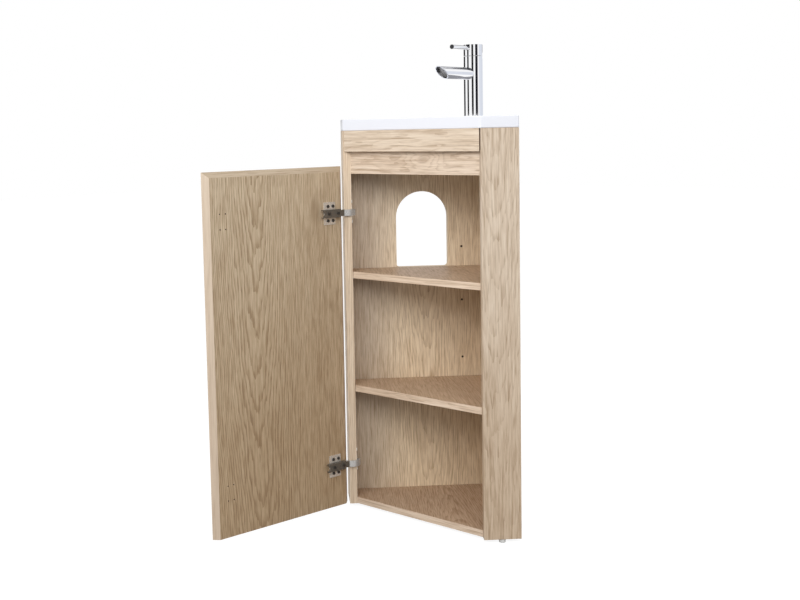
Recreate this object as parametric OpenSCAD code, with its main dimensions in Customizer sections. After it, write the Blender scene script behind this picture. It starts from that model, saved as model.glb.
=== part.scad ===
// Corner vanity unit: a pentagonal cabinet that stands in the corner of a room,
// with a slab basin, a single lever tap, two shelves and one angled door.
// The origin is the corner of the room at floor level. +Z is up, the door faces
// -Y when it is closed, and the two walls run off at 45 degrees behind the unit.

/* [Cabinet] */
// Length of the unit along each wall
wall_len = 340; // [330:1:360]
// Depth of each short side panel, measured from the wall
side_depth = 78; // [70:1:90]
// Height of the top of the basin above the floor
total_h = 880; // [840:1:920]
// Thickness of the side and back panels
board_t = 17; // [16:0.5:19]
// Thickness of the shelves, the floor panel and the cross rail
shelf_t = 15; // [12:0.5:18]
// How far the shelves and the floor panel stand back from the closed door
front_setback = 1; // [0.5:0.5:3]
// Height of the top of the lower shelf
lower_shelf_z = 283; // [260:1:300]
// Height of the top of the upper shelf
upper_shelf_z = 541; // [520:1:560]
// Gap between a loose shelf and the panels around it
shelf_gap = 0.8; // [0.5:0.1:2]
// Height of the cross rail below the basin
rail_h = 95; // [80:1:105]

/* [Front] */
// Thickness of the door
door_t = 12; // [10:0.5:14]
// Gap between the closed door and the front of the cross rail
door_clear = 0.4; // [0.3:0.1:1]
// Gap between a mitred front edge and the side panel that it faces
mitre_gap = 2.5; // [2.4:0.1:3]
// Height of the fascia board
fascia_h = 46; // [40:1:55]
// Finger gap between the fascia and the top of the door
finger_gap = 32; // [25:1:40]
// Angle of the door in the position that is drawn, where 0 is closed
door_open = 99; // [90:1:99]

/* [Pipe cut-out] */
// Width of the arched cut-out in the left back panel
arch_w = 118; // [90:1:130]
// Height of the arched cut-out
arch_h = 173; // [150:1:190]
// Distance of its middle from the corner of the room
arch_pos = 159; // [145:1:175]
// Radius of its two lower corners
arch_corner_r = 7; // [3:0.5:15]

/* [Hinges] */
// Height of the lower hinge
lower_hinge_z = 103; // [90:1:120]
// Distance of the upper hinge below the top of the door
upper_hinge_drop = 103; // [87:1:127]
// Diameter of the hinge cup
cup_d = 35; // [34.5:0.5:35.5]
// Depth of the hinge cup
cup_depth = 13.5; // [13.5:0.1:14]
// Distance of the cup's middle from the front edge of the side panel
cup_setback = 21.5; // [21:0.5:22]
// Distance of the hinge pin from the front edge of the side panel
pin_setback = 11.5; // [11.3:0.1:11.8]
// Depth of the hinge pin below the inner face of the side panel
pin_depth = 9.4; // [9.3:0.1:9.6]
// Diameter of the hinge pin
hinge_pin_d = 3.5; // [3:0.1:3.6]
// Height of the hinge arm
arm_w = 18; // [17:0.5:20]

/* [Basin] */
// Thickness of the basin slab
slab_t = 25; // [20:1:30]
// Depth of the bowl below the top of the slab
bowl_depth = 90; // [70:1:95]
// Thickness of the bowl wall
bowl_wall = 8; // [6:0.5:9]
// Diameter of the waste hole
waste_d = 46; // [40:1:50]
// Distance of the waste hole from the corner of the room
waste_pos = 188; // [180:1:195]

/* [Tap] */
// Distance of the tap from the corner of the room
tap_pos = 57; // [52:1:60]
// Diameter of the tap body
tap_d = 42.5; // [40:0.5:46]
// Height of the tap above the basin
tap_h = 161.5; // [145:0.5:180]
// Height of the turning cap
cap_h = 25.5; // [22:0.5:26.5]
// Reach of the spout from the middle of the tap to its tip
spout_reach = 133; // [110:1:150]
// Outer diameter of the spout
spout_d = 27; // [24:0.5:28]
// Distance of the middle of the spout below the top of the tap
spout_drop = 64.5; // [63.5:0.5:75]
// Reach of the lever from the middle of the tap to its end
lever_reach = 81; // [60:1:100]
// Diameter of the lever rod
lever_d = 9.2; // [7:0.2:11]
// Diameter of the tap hole in the basin
tap_hole_d = 35; // [34:1:36]

/* [Feet] */
// Diameter of a glide foot
glide_d = 14; // [10:0.5:16]
// Height of a glide foot
glide_h = 8; // [6:0.5:12]

/* [Hidden] */

eps = 0.01;
press = 0.02;
running = 0.06;
round_fn = 64;
fine_fn = 32;

// Heights
base_z = glide_h;
slab_z = total_h - slab_t;
fascia_z = slab_z - fascia_h;
door_z = fascia_z - finger_gap;
door_h = door_z - base_z;
rail_z = slab_z - rail_h;
upper_hinge_z = door_z - upper_hinge_drop;

// Plan sizes. a runs along the right wall and b along the left wall.
root2 = sqrt(2);
inner_len = wall_len - board_t;
front_line = side_depth + inner_len;

// Colours
oak = [0.84, 0.73, 0.58];
oak_inside = [0.76, 0.64, 0.49];
white_stone = [0.96, 0.96, 0.97];
chrome = [0.80, 0.81, 0.84];
nickel = [0.68, 0.67, 0.63];
steel = [0.60, 0.61, 0.63];
zinc = [0.72, 0.72, 0.70];
white_plastic = [0.93, 0.93, 0.92];
beech = [0.85, 0.72, 0.52];
rubber = [0.15, 0.15, 0.15];
brass = [0.78, 0.65, 0.35];

// Turns [a, -b] plan sizes into the frame of the room corner.
module in_corner() {
    rotate([0, 0, -45]) children();
}

// Repeats a shape for the right half as its mirror image on the left.
module both_sides() {
    children();
    mirror([1, 0, 0]) children();
}

// A plan outline in [a, b] pairs, raised to a board.
module plan_board(points, low, high) {
    in_corner() translate([0, 0, low])
        linear_extrude(high - low) polygon([for (p = points) [p[0], -p[1]]]);
}

// The outline of everything that lies between the panels, with a gap all round.
function inside_outline(gap) = let (
        low = board_t + gap,
        high = inner_len - gap,
        line = front_line - front_setback * root2)
    [[low, low], [high, low], [high, line - high], [line - high, high], [low, high]];

// ---- Joints between the boards ----

dowel_d = 8;
dowel_len = 30;
dowel_in_side = 10;
cam_d = 15;
cam_deep = 11.5;
wall_dowel_z = [130, 430, 730];
cam_reach = 34;
bolt_d = 6;
bolt_in_side = 11;
joint_far = 240;
joint_near = 80;
side_joint = side_depth / 2 + 8;
dowel_step = 28;
side_dowel_step = 17;
joint_z = base_z + shelf_t / 2;

// Places a shape that points along its own +X from the inner face of a panel into
// the floor panel: twice on each back panel, once on each side panel.
module at_joints(shift, side_shift) {
    in_corner() {
        for (b = [joint_near, joint_far])
            translate([board_t, -b - shift, joint_z]) children();
        for (a = [joint_near, joint_far])
            translate([a + shift, -board_t, joint_z]) rotate([0, 0, -90]) children();
        translate([inner_len, -side_joint + side_shift, joint_z]) rotate([0, 0, 180]) children();
        translate([side_joint - side_shift, -inner_len, joint_z]) rotate([0, 0, 90]) children();
    }
}

// Places a shape that points along its own +X from a panel into the end of a back panel.
module at_panel_ends() {
    in_corner() for (z = wall_dowel_z) {
        translate([board_t, -board_t / 2, z]) children();
        translate([inner_len, -board_t / 2, z]) rotate([0, 0, 180]) children();
        translate([board_t / 2, -inner_len, z]) rotate([0, 0, 90]) children();
    }
}

module dowel_shape(extra) {
    translate([-dowel_in_side - extra, 0, 0]) rotate([0, 90, 0])
        cylinder(h = dowel_len + 2 * extra, d = dowel_d + 2 * extra, $fn = round_fn);
}

module bolt_shape(extra) {
    translate([-bolt_in_side - extra, 0, 0]) rotate([0, 90, 0])
        cylinder(h = bolt_in_side + cam_reach - cam_d / 2 + 2 * extra, d = bolt_d + 2 * extra, $fn = round_fn);
}

module cam_shape(extra) {
    translate([cam_reach, 0, -shelf_t / 2 - extra])
        cylinder(h = cam_deep + 2 * extra, d = cam_d + 2 * extra, $fn = round_fn);
}

// Bores that the fittings need in every board of the carcass
module joint_bores() {
    at_joints(dowel_step, side_dowel_step) dowel_shape(press);
    at_panel_ends() dowel_shape(press);
    at_joints(0, 0) bolt_shape(press);
    at_joints(0, 0) cam_shape(press);
}

module wood_dowels() {
    color(beech) {
        at_joints(dowel_step, side_dowel_step) dowel_shape(0);
        at_panel_ends() dowel_shape(0);
    }
}

module cam_bolts() {
    color(steel) at_joints(0, 0) bolt_shape(0);
}

module cam_housings() {
    cross_w = 1.6;
    cross_len = 9;
    color(zinc) at_joints(0, 0) difference() {
        cam_shape(0);
        bolt_shape(press);
        translate([cam_reach, 0, -shelf_t / 2]) for (turn = [45, 135])
            rotate([0, 0, turn]) cube([cross_len, cross_w, 3], center = true);
    }
}

// ---- Shelf pins ----

pin_d = 5;
pin_in_panel = 10;
pin_hole_deep = 11;
pin_pitch = 62;
pin_back_pos = 68;
pin_side_pos = side_depth / 2;
rest_len = 9;
rest_w = 7;
rest_h = 5;

// Places a shape that points along its own +X from a panel into the cabinet.
module at_pins(z) {
    in_corner() {
        translate([board_t, -pin_back_pos, z]) children();
        translate([pin_back_pos, -board_t, z]) rotate([0, 0, -90]) children();
        translate([inner_len, -pin_side_pos, z]) rotate([0, 0, 180]) children();
        translate([pin_side_pos, -inner_len, z]) rotate([0, 0, 90]) children();
    }
}

function pin_z(shelf_z) = shelf_z - shelf_t - rest_h / 2;

module pin_bores() {
    for (shelf = [lower_shelf_z, upper_shelf_z], step = [-1, 0, 1])
        at_pins(pin_z(shelf) + step * pin_pitch)
            translate([-pin_hole_deep, 0, 0]) rotate([0, 90, 0])
                cylinder(h = pin_hole_deep + 1, d = pin_d + 2 * press, $fn = round_fn);
}

module shelf_pins(shelf_z) {
    color(nickel) at_pins(pin_z(shelf_z)) {
        translate([-pin_in_panel, 0, 0]) rotate([0, 90, 0])
            cylinder(h = pin_in_panel + 1, d = pin_d, $fn = round_fn);
        translate([0, -rest_w / 2, -rest_h / 2]) cube([rest_len, rest_w, rest_h]);
    }
}

module lower_shelf_pins() {
    shelf_pins(lower_shelf_z);
}

module upper_shelf_pins() {
    shelf_pins(upper_shelf_z);
}

// ---- Feet ----

nail_d = 2.4;
nail_in_board = 16;
nail_head_d = 7;
nail_head_h = 1.2;
glide_recess = 2.5;
back_foot_pos = 200;

module at_feet() {
    half = board_t / 2;
    places = [[wall_len - half, side_depth / 2], [side_depth / 2, wall_len - half],
        [half, back_foot_pos], [back_foot_pos, half], [half, half]];
    in_corner() for (p = places) translate([p[0], -p[1], 0]) children();
}

module nail_bores() {
    at_feet() translate([0, 0, base_z - 1])
        cylinder(h = nail_in_board + 2, d = nail_d + 2 * press, $fn = fine_fn);
}

module glide_feet() {
    lip = 1.2;
    color(white_plastic) at_feet() difference() {
        union() {
            translate([0, 0, lip]) cylinder(h = glide_h - lip, d = glide_d, $fn = round_fn);
            cylinder(h = lip, d1 = glide_d - 2 * lip, d2 = glide_d, $fn = round_fn);
        }
        translate([0, 0, -1]) cylinder(h = glide_h + 2, d = nail_d + 2 * press, $fn = fine_fn);
        translate([0, 0, -1]) cylinder(h = glide_recess + 1, d = nail_head_d + 1, $fn = fine_fn);
    }
}

module glide_nails() {
    color(steel) at_feet() {
        translate([0, 0, glide_recess - nail_head_h])
            cylinder(h = nail_head_h, d = nail_head_d, $fn = fine_fn);
        translate([0, 0, glide_recess - nail_head_h])
            cylinder(h = base_z + nail_in_board - glide_recess + nail_head_h, d = nail_d, $fn = fine_fn);
    }
}

// ---- Hinges: places ----

// The hinge post is the front of the left side panel. On it, "back" is the distance
// from the front edge and "out" the height above the inner face.
function post_point(back, out) = corner_point(side_depth - back, inner_len - out);
function corner_point(a, b) = [(a - b) / root2, -(a + b) / root2];

hinge_axis = post_point(pin_setback, -pin_depth);
hinge_levels = [lower_hinge_z, upper_hinge_z];

// The closed door: its inner face, and the sharp front corner of its left mitre
inner_corner_y = corner_point(side_depth, inner_len)[1];
door_back_y = inner_corner_y - door_clear;
door_edge_x = (side_depth + mitre_gap) * root2 + door_back_y - door_t;
door_w = -2 * door_edge_x;

// Turns the closed door's parts to the open position that is drawn.
module swing() {
    translate([hinge_axis[0], hinge_axis[1], 0]) rotate([0, 0, -door_open])
        translate([-hinge_axis[0], -hinge_axis[1], 0]) children();
}

// Frame on the inner face of the closed door: +X across the door, +Y into the cabinet.
module on_door(z) {
    swing() translate([door_edge_x, door_back_y, z]) children();
}

// Frame on the inner face of the hinge post: +X to the back, +Y out of the face.
module on_post(z) {
    in_corner() translate([side_depth, -inner_len, z]) mirror([1, 0, 0]) children();
}

// ---- Hinges: cup and pin ----

cup_wall = 1;
cup_floor = 0.9;
rim_t = 1;
rim_w = 1.6;
ear_back = 9.5;
ear_step = 22.5;
ear_d = 12;
ear_t = 1.4;
cup_screw_d = 3.5;
cup_screw_len = 13;
screw_head_d = 7;
screw_head_h = 1.8;
pin_half = 11;
neck_h = 14;
lug_from = neck_h / 2 + 0.4;
lug_len = 9;
lug_rise = 7;

module cup_pocket(z) {
    on_post(z) translate([cup_setback, 0, 0]) rotate([90, 0, 0]) translate([0, 0, -1])
        cylinder(h = cup_depth + 0.1 + 1, d = cup_d + 2 * press, $fn = round_fn);
}

module at_cup_screws() {
    for (side = [-1, 1]) translate([cup_setback + ear_back, 0, side * ear_step]) children();
}

module cup_screw_shape(extra) {
    rotate([90, 0, 0])
        cylinder(h = cup_screw_len + extra, d = cup_screw_d + 2 * extra, $fn = fine_fn);
}

// Turns a shape that stands along +Z so that it stands out of the post at the cup
module at_cup() {
    translate([cup_setback, 0, 0]) rotate([90, 0, 0]) children();
}

module cup_shell() {
    difference() {
        union() {
            at_cup() translate([0, 0, -rim_t]) cylinder(h = cup_depth + rim_t, d = cup_d, $fn = round_fn);
            at_cup() translate([0, 0, -rim_t])
                cylinder(h = rim_t, d = cup_d + 2 * rim_w, $fn = round_fn);
            at_cup_screws() rotate([-90, 0, 0]) cylinder(h = ear_t, d = ear_d, $fn = fine_fn);
            translate([cup_setback + ear_back - ear_d / 2, 0, -ear_step])
                cube([ear_d, ear_t, 2 * ear_step]);
        }
        at_cup() translate([0, 0, -3])
            cylinder(h = cup_depth - cup_floor + 3, d = cup_d - 2 * cup_wall, $fn = round_fn);
    }
}

// Two lugs on the floor of the cup that carry the ends of the hinge pin
module cup_lugs() {
    intersection() {
        at_cup() cylinder(h = cup_depth - eps, d = cup_d - cup_wall, $fn = round_fn);
        for (side = [0, 1]) mirror([0, 0, side])
            translate([pin_setback - lug_len / 2, -cup_depth, lug_from]) cube([lug_len, lug_rise, cup_d]);
    }
}

module hinge_cup(z) {
    color(nickel) on_post(z) difference() {
        union() {
            cup_shell();
            cup_lugs();
        }
        at_cup_screws() translate([0, 5, 0]) rotate([90, 0, 0])
            cylinder(h = 10, d = cup_screw_d + 2 * press, $fn = fine_fn);
        translate([pin_setback, -pin_depth, -pin_half - press])
            cylinder(h = 2 * (pin_half + press), d = hinge_pin_d + 2 * press, $fn = fine_fn);
    }
}

module hinge_pin(z) {
    color(steel) on_post(z) translate([pin_setback, -pin_depth, -pin_half])
        cylinder(h = 2 * pin_half, d = hinge_pin_d, $fn = fine_fn);
}

module hinge_cup_screws() {
    color(nickel) for (z = hinge_levels) on_post(z) at_cup_screws() {
        translate([0, ear_t, 0]) cup_screw_shape(0);
        translate([0, ear_t, 0]) rotate([-90, 0, 0]) difference() {
            cylinder(h = screw_head_h, d = screw_head_d, $fn = fine_fn);
            translate([0, 0, screw_head_h]) cross_slot(4.4, 1, 1);
        }
    }
}

module cross_slot(len, w, deep) {
    for (turn = [0, 90]) rotate([0, 0, turn]) cube([len, w, 2 * deep], center = true);
}

module upper_hinge_cup() {
    hinge_cup(upper_hinge_z);
}

module lower_hinge_cup() {
    hinge_cup(lower_hinge_z);
}

module upper_hinge_pin() {
    hinge_pin(upper_hinge_z);
}

module lower_hinge_pin() {
    hinge_pin(lower_hinge_z);
}

// ---- Hinges: mounting plate and arm on the door ----

plate_from = 28;
plate_len = 31.5;
wing_h = 50;
wing_t = 2;
plate_screw_x = [35, 49];
plate_screw_z = 16;
plate_screw_d = 3.6;
plate_screw_len = 9;
arm_from = 20;
arm_to = 69;
arm_under = 4;
arm_top = 12;
arm_wall = 1.6;
channel_from = 24;
fixing_x = 53;
adjusting_x = 27.2;
ridge_from = 31;
fixing_d = 5;
ridge_h = arm_w - 2 * arm_wall - 0.4;
ridge_top = arm_top - arm_wall;
crank_in = 15.4;
crank_out = 18.9;
crank_start = 135;
crank_end = 12;
eye_r = 2.9;
neck_t = 3.2;
neck_from = 2.3;

// The hinge pin in the frame of the closed door's inner face
pin_on_door = [hinge_axis[0] - door_edge_x, hinge_axis[1] - door_back_y];

module mounting_plate(z) {
    color(nickel) on_door(z) difference() {
        union() {
            translate([plate_from, 0, -wing_h / 2]) cube([plate_len, wing_t, wing_h]);
            translate([ridge_from, 0, -ridge_h / 2])
                cube([plate_from + plate_len - ridge_from, ridge_top, ridge_h]);
        }
        at_plate_screws() translate([0, -1, 0]) rotate([-90, 0, 0])
            cylinder(h = wing_t + 2, d = plate_screw_d + 2 * press, $fn = fine_fn);
        translate([fixing_x, -1, 0]) rotate([-90, 0, 0])
            cylinder(h = ridge_top + 2, d = fixing_d + 2 * press, $fn = fine_fn);
    }
}

module at_plate_screws() {
    for (x = plate_screw_x, side = [-1, 1]) translate([x, 0, side * plate_screw_z]) children();
}

module plate_screw_bores() {
    for (z = hinge_levels) translate([0, 0, z]) at_plate_screws()
        translate([0, -plate_screw_len - press, 0]) rotate([-90, 0, 0])
            cylinder(h = plate_screw_len + 1, d = plate_screw_d + 2 * press, $fn = fine_fn);
}

module mounting_plate_screws() {
    color(nickel) for (z = hinge_levels) on_door(z) at_plate_screws() {
        translate([0, -plate_screw_len, 0]) rotate([-90, 0, 0])
            cylinder(h = plate_screw_len + wing_t, d = plate_screw_d, $fn = fine_fn);
        translate([0, wing_t, 0]) rotate([-90, 0, 0]) difference() {
            cylinder(h = screw_head_h, d = screw_head_d, $fn = fine_fn);
            translate([0, 0, screw_head_h]) cross_slot(4.4, 1, 1);
        }
    }
}

// Round part of the crank, which goes round the edge of the post
module crank_ring() {
    translate([pin_on_door[0], pin_on_door[1], -neck_h / 2]) intersection() {
        difference() {
            cylinder(h = neck_h, r = crank_out, $fn = round_fn);
            translate([0, 0, -1]) cylinder(h = neck_h + 2, r = crank_in, $fn = round_fn);
        }
        linear_extrude(neck_h) polygon([[0, 0], 2 * crank_out * direction(crank_end),
            3 * crank_out * direction(70), 2 * crank_out * direction(crank_start)]);
    }
}

function direction(angle) = [cos(angle), sin(angle)];

// Straight part of the crank, from the ring to the arm
module crank_block() {
    mid_r = (crank_in + crank_out) / 2;
    rise = arm_top - pin_on_door[1];
    reach = pin_on_door[0] + sqrt(mid_r * mid_r - rise * rise);
    translate([0, 0, -neck_h / 2]) linear_extrude(neck_h)
        polygon([pin_on_door + mid_r * direction(crank_end + 4), [arm_from - 4, arm_under],
            [channel_from - 1, arm_under], [channel_from - 1, arm_top], [reach, arm_top]]);
}

module hinge_arm(z) {
    notch = 7;
    color(nickel) on_door(z) difference() {
        union() {
            crank_ring();
            crank_block();
            translate([pin_on_door[0], pin_on_door[1], -neck_h / 2]) rotate([0, 0, crank_start]) {
                cylinder(h = neck_h, r = eye_r, $fn = fine_fn);
                translate([neck_from, -neck_t / 2, 0])
                    cube([crank_in + 1.5 - neck_from, neck_t, neck_h]);
            }
            translate([arm_from, arm_under, -arm_w / 2])
                cube([arm_to - arm_from, arm_top - arm_under, arm_w]);
        }
        translate([pin_on_door[0], pin_on_door[1], -neck_h / 2 - 1])
            cylinder(h = neck_h + 2, d = hinge_pin_d + 2 * running, $fn = fine_fn);
        translate([channel_from, arm_under - 1, -arm_w / 2 + arm_wall])
            cube([arm_to, arm_top - arm_under - arm_wall + 1, arm_w - 2 * arm_wall]);
        translate([arm_to, arm_top, 0]) rotate([0, 45, 0])
            cube([notch, 4 * arm_wall, notch], center = true);
        for (x = [fixing_x, adjusting_x]) translate([x, 0, 0]) rotate([-90, 0, 0])
            cylinder(h = arm_top + 1, d = fixing_d + 2 * press, $fn = fine_fn);
    }
}

module arm_screw(z, x, length) {
    on_door(z) translate([x, arm_top, 0]) rotate([-90, 0, 0]) difference() {
        union() {
            translate([0, 0, -length]) cylinder(h = length + 1, d = fixing_d, $fn = fine_fn);
            cylinder(h = 1.6, d = fixing_d + 2.5, $fn = fine_fn);
        }
        translate([0, 0, 1.6]) cross_slot(5, 1.1, 1);
    }
}

module arm_fixing_screws() {
    color(zinc) for (z = hinge_levels) arm_screw(z, fixing_x, arm_top - 0.5);
}

module arm_adjusting_screws() {
    color(zinc) for (z = hinge_levels) arm_screw(z, adjusting_x, arm_top - wing_t - 0.6);
}

module upper_mounting_plate() {
    mounting_plate(upper_hinge_z);
}

module lower_mounting_plate() {
    mounting_plate(lower_hinge_z);
}

module upper_hinge_arm() {
    hinge_arm(upper_hinge_z);
}

module lower_hinge_arm() {
    hinge_arm(lower_hinge_z);
}

// ---- Carcass ----

module side_board() {
    plan_board([[inner_len, 0], [wall_len, 0], [wall_len, side_depth], [inner_len, side_depth]],
        base_z, slab_z);
}

module right_side_panel() {
    color(oak) difference() {
        side_board();
        joint_bores();
        pin_bores();
        nail_bores();
        both_sides() block_screw_bores();
    }
}

module left_side_panel() {
    color(oak) difference() {
        mirror([1, 0, 0]) side_board();
        joint_bores();
        pin_bores();
        nail_bores();
        both_sides() block_screw_bores();
        for (z = hinge_levels) {
            cup_pocket(z);
            on_post(z) at_cup_screws() translate([0, ear_t, 0]) cup_screw_shape(press);
        }
    }
}

module left_back_panel() {
    color(oak_inside) difference() {
        plan_board([[0, 0], [board_t, 0], [board_t, inner_len], [0, inner_len]], base_z, slab_z);
        in_corner() translate([-1, -arch_pos, upper_shelf_z]) arch_cutter(board_t + 2);
        joint_bores();
        pin_bores();
        nail_bores();
    }
}

// The arched hole as plain round and square cuts, so its curve stays true
module arch_cutter(depth) {
    half = arch_w / 2;
    translate([0, 0, arch_h - half]) rotate([0, 90, 0])
        cylinder(h = depth, r = half, $fn = 2 * round_fn);
    translate([0, -half, arch_corner_r]) cube([depth, arch_w, arch_h - half - arch_corner_r]);
    translate([0, -half + arch_corner_r, 0])
        cube([depth, arch_w - 2 * arch_corner_r, arch_corner_r + eps]);
    for (side = [-1, 1]) translate([0, side * (half - arch_corner_r), arch_corner_r])
        rotate([0, 90, 0]) cylinder(h = depth, r = arch_corner_r, $fn = fine_fn);
}

module right_back_panel() {
    color(oak_inside) difference() {
        plan_board([[board_t, 0], [inner_len, 0], [inner_len, board_t], [board_t, board_t]],
            base_z, slab_z);
        joint_bores();
        pin_bores();
        nail_bores();
    }
}

module floor_panel() {
    color(oak) difference() {
        plan_board(inside_outline(0), base_z, base_z + shelf_t);
        joint_bores();
    }
}

module lower_shelf() {
    color(oak) plan_board(inside_outline(shelf_gap), lower_shelf_z - shelf_t, lower_shelf_z);
}

module upper_shelf() {
    color(oak) plan_board(inside_outline(shelf_gap), upper_shelf_z - shelf_t, upper_shelf_z);
}

// Outline across the front, between two lines parallel to it and cut at the height
// "end" of both side panels' own directions
function across_front(near, far, end) = [[near - end, end], [end, near - end],
    [end, far - end], [far - end, end]];

module cross_rail() {
    color(oak) difference() {
        plan_board(across_front(front_line, rail_inner, inner_len), rail_z, slab_z);
        fascia_screw_bores();
        both_sides() block_screw_bores();
    }
}

module fascia_board() {
    color(oak) difference() {
        plan_board(across_front(front_line + board_t, front_line, side_depth + mitre_gap),
            fascia_z, slab_z);
        fascia_screw_bores();
    }
}

rail_inner = front_line - shelf_t * root2;
rail_back_y = inner_corner_y + shelf_t;
fascia_screw_d = 3.5;
fascia_screw_in = 9;
fascia_screw_x = [-120, 0, 120];
fascia_screw_z = fascia_z + fascia_h / 2;

module fascia_screw_shape(extra) {
    translate([0, 0, -shelf_t - fascia_screw_in - extra])
        cylinder(h = shelf_t + fascia_screw_in + extra, d = fascia_screw_d + 2 * extra, $fn = fine_fn);
}

module at_fascia_screws() {
    for (x = fascia_screw_x) translate([x, rail_back_y, fascia_screw_z]) rotate([-90, 0, 0])
        children();
}

module fascia_screw_bores() {
    at_fascia_screws() union() {
        fascia_screw_shape(press);
        cylinder(h = 1, d = fascia_screw_d + 2 * press, $fn = fine_fn);
    }
}

module fascia_screws() {
    color(zinc) at_fascia_screws() {
        fascia_screw_shape(0);
        difference() {
            cylinder(h = screw_head_h, d = screw_head_d, $fn = fine_fn);
            translate([0, 0, screw_head_h]) cross_slot(4.4, 1, 1);
        }
    }
}

// ---- Blocks that hold the ends of the rail ----

block_leg = 18;
block_t = 5;
block_h = 32;
block_z = rail_z + 12;
block_screw_d = 3.5;
block_screw_in = 10;
block_seat = 3;
block_screw_at = 11;

// Corner between the back of the rail and the inner face of the right side panel
block_b = rail_inner - inner_len;
block_corner = corner_point(inner_len, block_b);

module rail_blocks() {
    color(white_plastic) both_sides() difference() {
        translate([0, 0, block_z]) linear_extrude(block_h)
            polygon([block_corner, corner_point(inner_len, block_b - block_leg),
                corner_point(inner_len - block_t, block_b - block_leg),
                block_corner + [-block_leg, block_t], block_corner + [-block_leg, 0]]);
        block_screw_bores();
    }
}

// Frames of the two screws in the right block: +Z points out of the board's face
module at_rail_screw() {
    translate([block_corner[0] - block_screw_at, block_corner[1], block_z + block_h / 4])
        rotate([-90, 0, 0]) children();
}

module at_side_screw() {
    in_corner() translate([inner_len, block_screw_at - block_b, block_z + 3 * block_h / 4])
        rotate([0, -90, 0]) children();
}

module block_screw_bore() {
    translate([0, 0, -block_screw_in - press])
        cylinder(h = block_screw_in + 10, d = block_screw_d + 2 * press, $fn = fine_fn);
    translate([0, 0, block_seat]) cylinder(h = 15, d = screw_head_d + 0.4, $fn = fine_fn);
}

module block_screw() {
    translate([0, 0, -block_screw_in])
        cylinder(h = block_screw_in + block_seat, d = block_screw_d, $fn = fine_fn);
    translate([0, 0, block_seat]) difference() {
        cylinder(h = screw_head_h, d = screw_head_d, $fn = fine_fn);
        translate([0, 0, screw_head_h]) cross_slot(4.4, 1, 1);
    }
}

module block_screw_bores() {
    at_rail_screw() block_screw_bore();
    at_side_screw() block_screw_bore();
}

module block_screws() {
    color(zinc) both_sides() {
        at_rail_screw() block_screw();
        at_side_screw() block_screw();
    }
}

// ---- Door ----

pilot_d = 2.5;
pilot_deep = 8;

// Pilot holes for hinges on the other side, so that the door can be hung either way
module spare_pilots() {
    for (z = hinge_levels, x = plate_screw_x, side = [-1, 1])
        translate([door_w - x, -pilot_deep, z + side * plate_screw_z]) rotate([-90, 0, 0])
            cylinder(h = pilot_deep + 1, d = pilot_d, $fn = fine_fn);
}

module door_panel() {
    color(oak) swing() translate([door_edge_x, door_back_y, 0]) difference() {
        translate([0, 0, base_z]) linear_extrude(door_h)
            polygon([[door_t, 0], [0, -door_t], [door_w, -door_t], [door_w - door_t, 0]]);
        translate([-1, 0, 0]) rotate([90, 0, 90]) linear_extrude(door_w + 2)
            polygon([[-door_t, door_z], [1, door_z - door_t - 1], [1, door_z + 1],
                [-door_t, door_z + 1]]);
        plate_screw_bores();
        spare_pilots();
    }
}

// ---- Basin ----

bowl_front_clear = 3.55;
bowl_side_clear = 4.3;
bowl_r = 52;
floor_r = 40;
bowl_side_y = rail_back_y + bowl_front_clear + bowl_wall + bowl_r;
bowl_side_x = -bowl_side_y - root2 * (board_t + bowl_side_clear + bowl_wall + bowl_r);
bowl_back_y = -160;
floor_side_x = bowl_side_x - 38;
floor_side_y = bowl_side_y + 7;
floor_back_y = bowl_back_y - 12;

// A soft three-cornered shape with slanting sides, grown by "grow" all round
module bowl_shape(grow, low, high) {
    hull() {
        for (side = [-1, 1]) {
            translate([side * bowl_side_x, bowl_side_y, high - eps])
                cylinder(h = eps, r = bowl_r + grow, $fn = 48);
            translate([side * floor_side_x, floor_side_y, low])
                cylinder(h = eps, r = floor_r + grow, $fn = 48);
        }
        translate([0, bowl_back_y, high - eps]) cylinder(h = eps, r = bowl_r + grow, $fn = 48);
        translate([0, floor_back_y, low]) cylinder(h = eps, r = floor_r + grow, $fn = 48);
    }
}

module basin() {
    bowl_z = total_h - bowl_depth;
    color(white_stone) difference() {
        union() {
            plan_board([[0, 0], [wall_len, 0], [wall_len, side_depth], [side_depth, wall_len],
                [0, wall_len]], slab_z, total_h);
            bowl_shape(bowl_wall, bowl_z - bowl_wall, slab_z + 1);
        }
        bowl_shape(0, bowl_z, total_h + 1);
        translate([0, -waste_pos, bowl_z - bowl_wall - 1])
            cylinder(h = bowl_wall + 2, d = waste_d, $fn = round_fn);
        translate([0, -tap_pos, slab_z - 1]) cylinder(h = slab_t + 2, d = tap_hole_d, $fn = round_fn);
    }
}

// ---- Tap ----

tap_r = tap_d / 2;
spout_h = tap_h - spout_drop;
body_h = tap_h - cap_h;
cap_gap = 0.5;
chamber_r = 17.5;
chamber_h = 24;
chamber_z = body_h - chamber_h;
nut_h = 6;
stem_r = 5;
channel_r = 5;
channel_y = -11;
inlet_r = 5;
inlet_x = 9;
inlet_y = -5;
inlet_deep = 30;
stud_d = 8;
stud_y = 9;
stud_in = 18;
stud_below = 35;
gasket_in = 14;
gasket_out = 19;
gasket_t = 1;
spout_bore = 22;
spout_in = 10;
spout_slant = 31;
aerator_t = 4;
aerator_in = 7;

// Frame of the tap: its axis on the top of the basin
module at_tap() {
    translate([0, -tap_pos, total_h]) children();
}

// Lays a shape along -Y, from the tap's axis towards the front
module to_front(z) {
    translate([0, 0, z]) rotate([90, 0, 0]) children();
}

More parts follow.
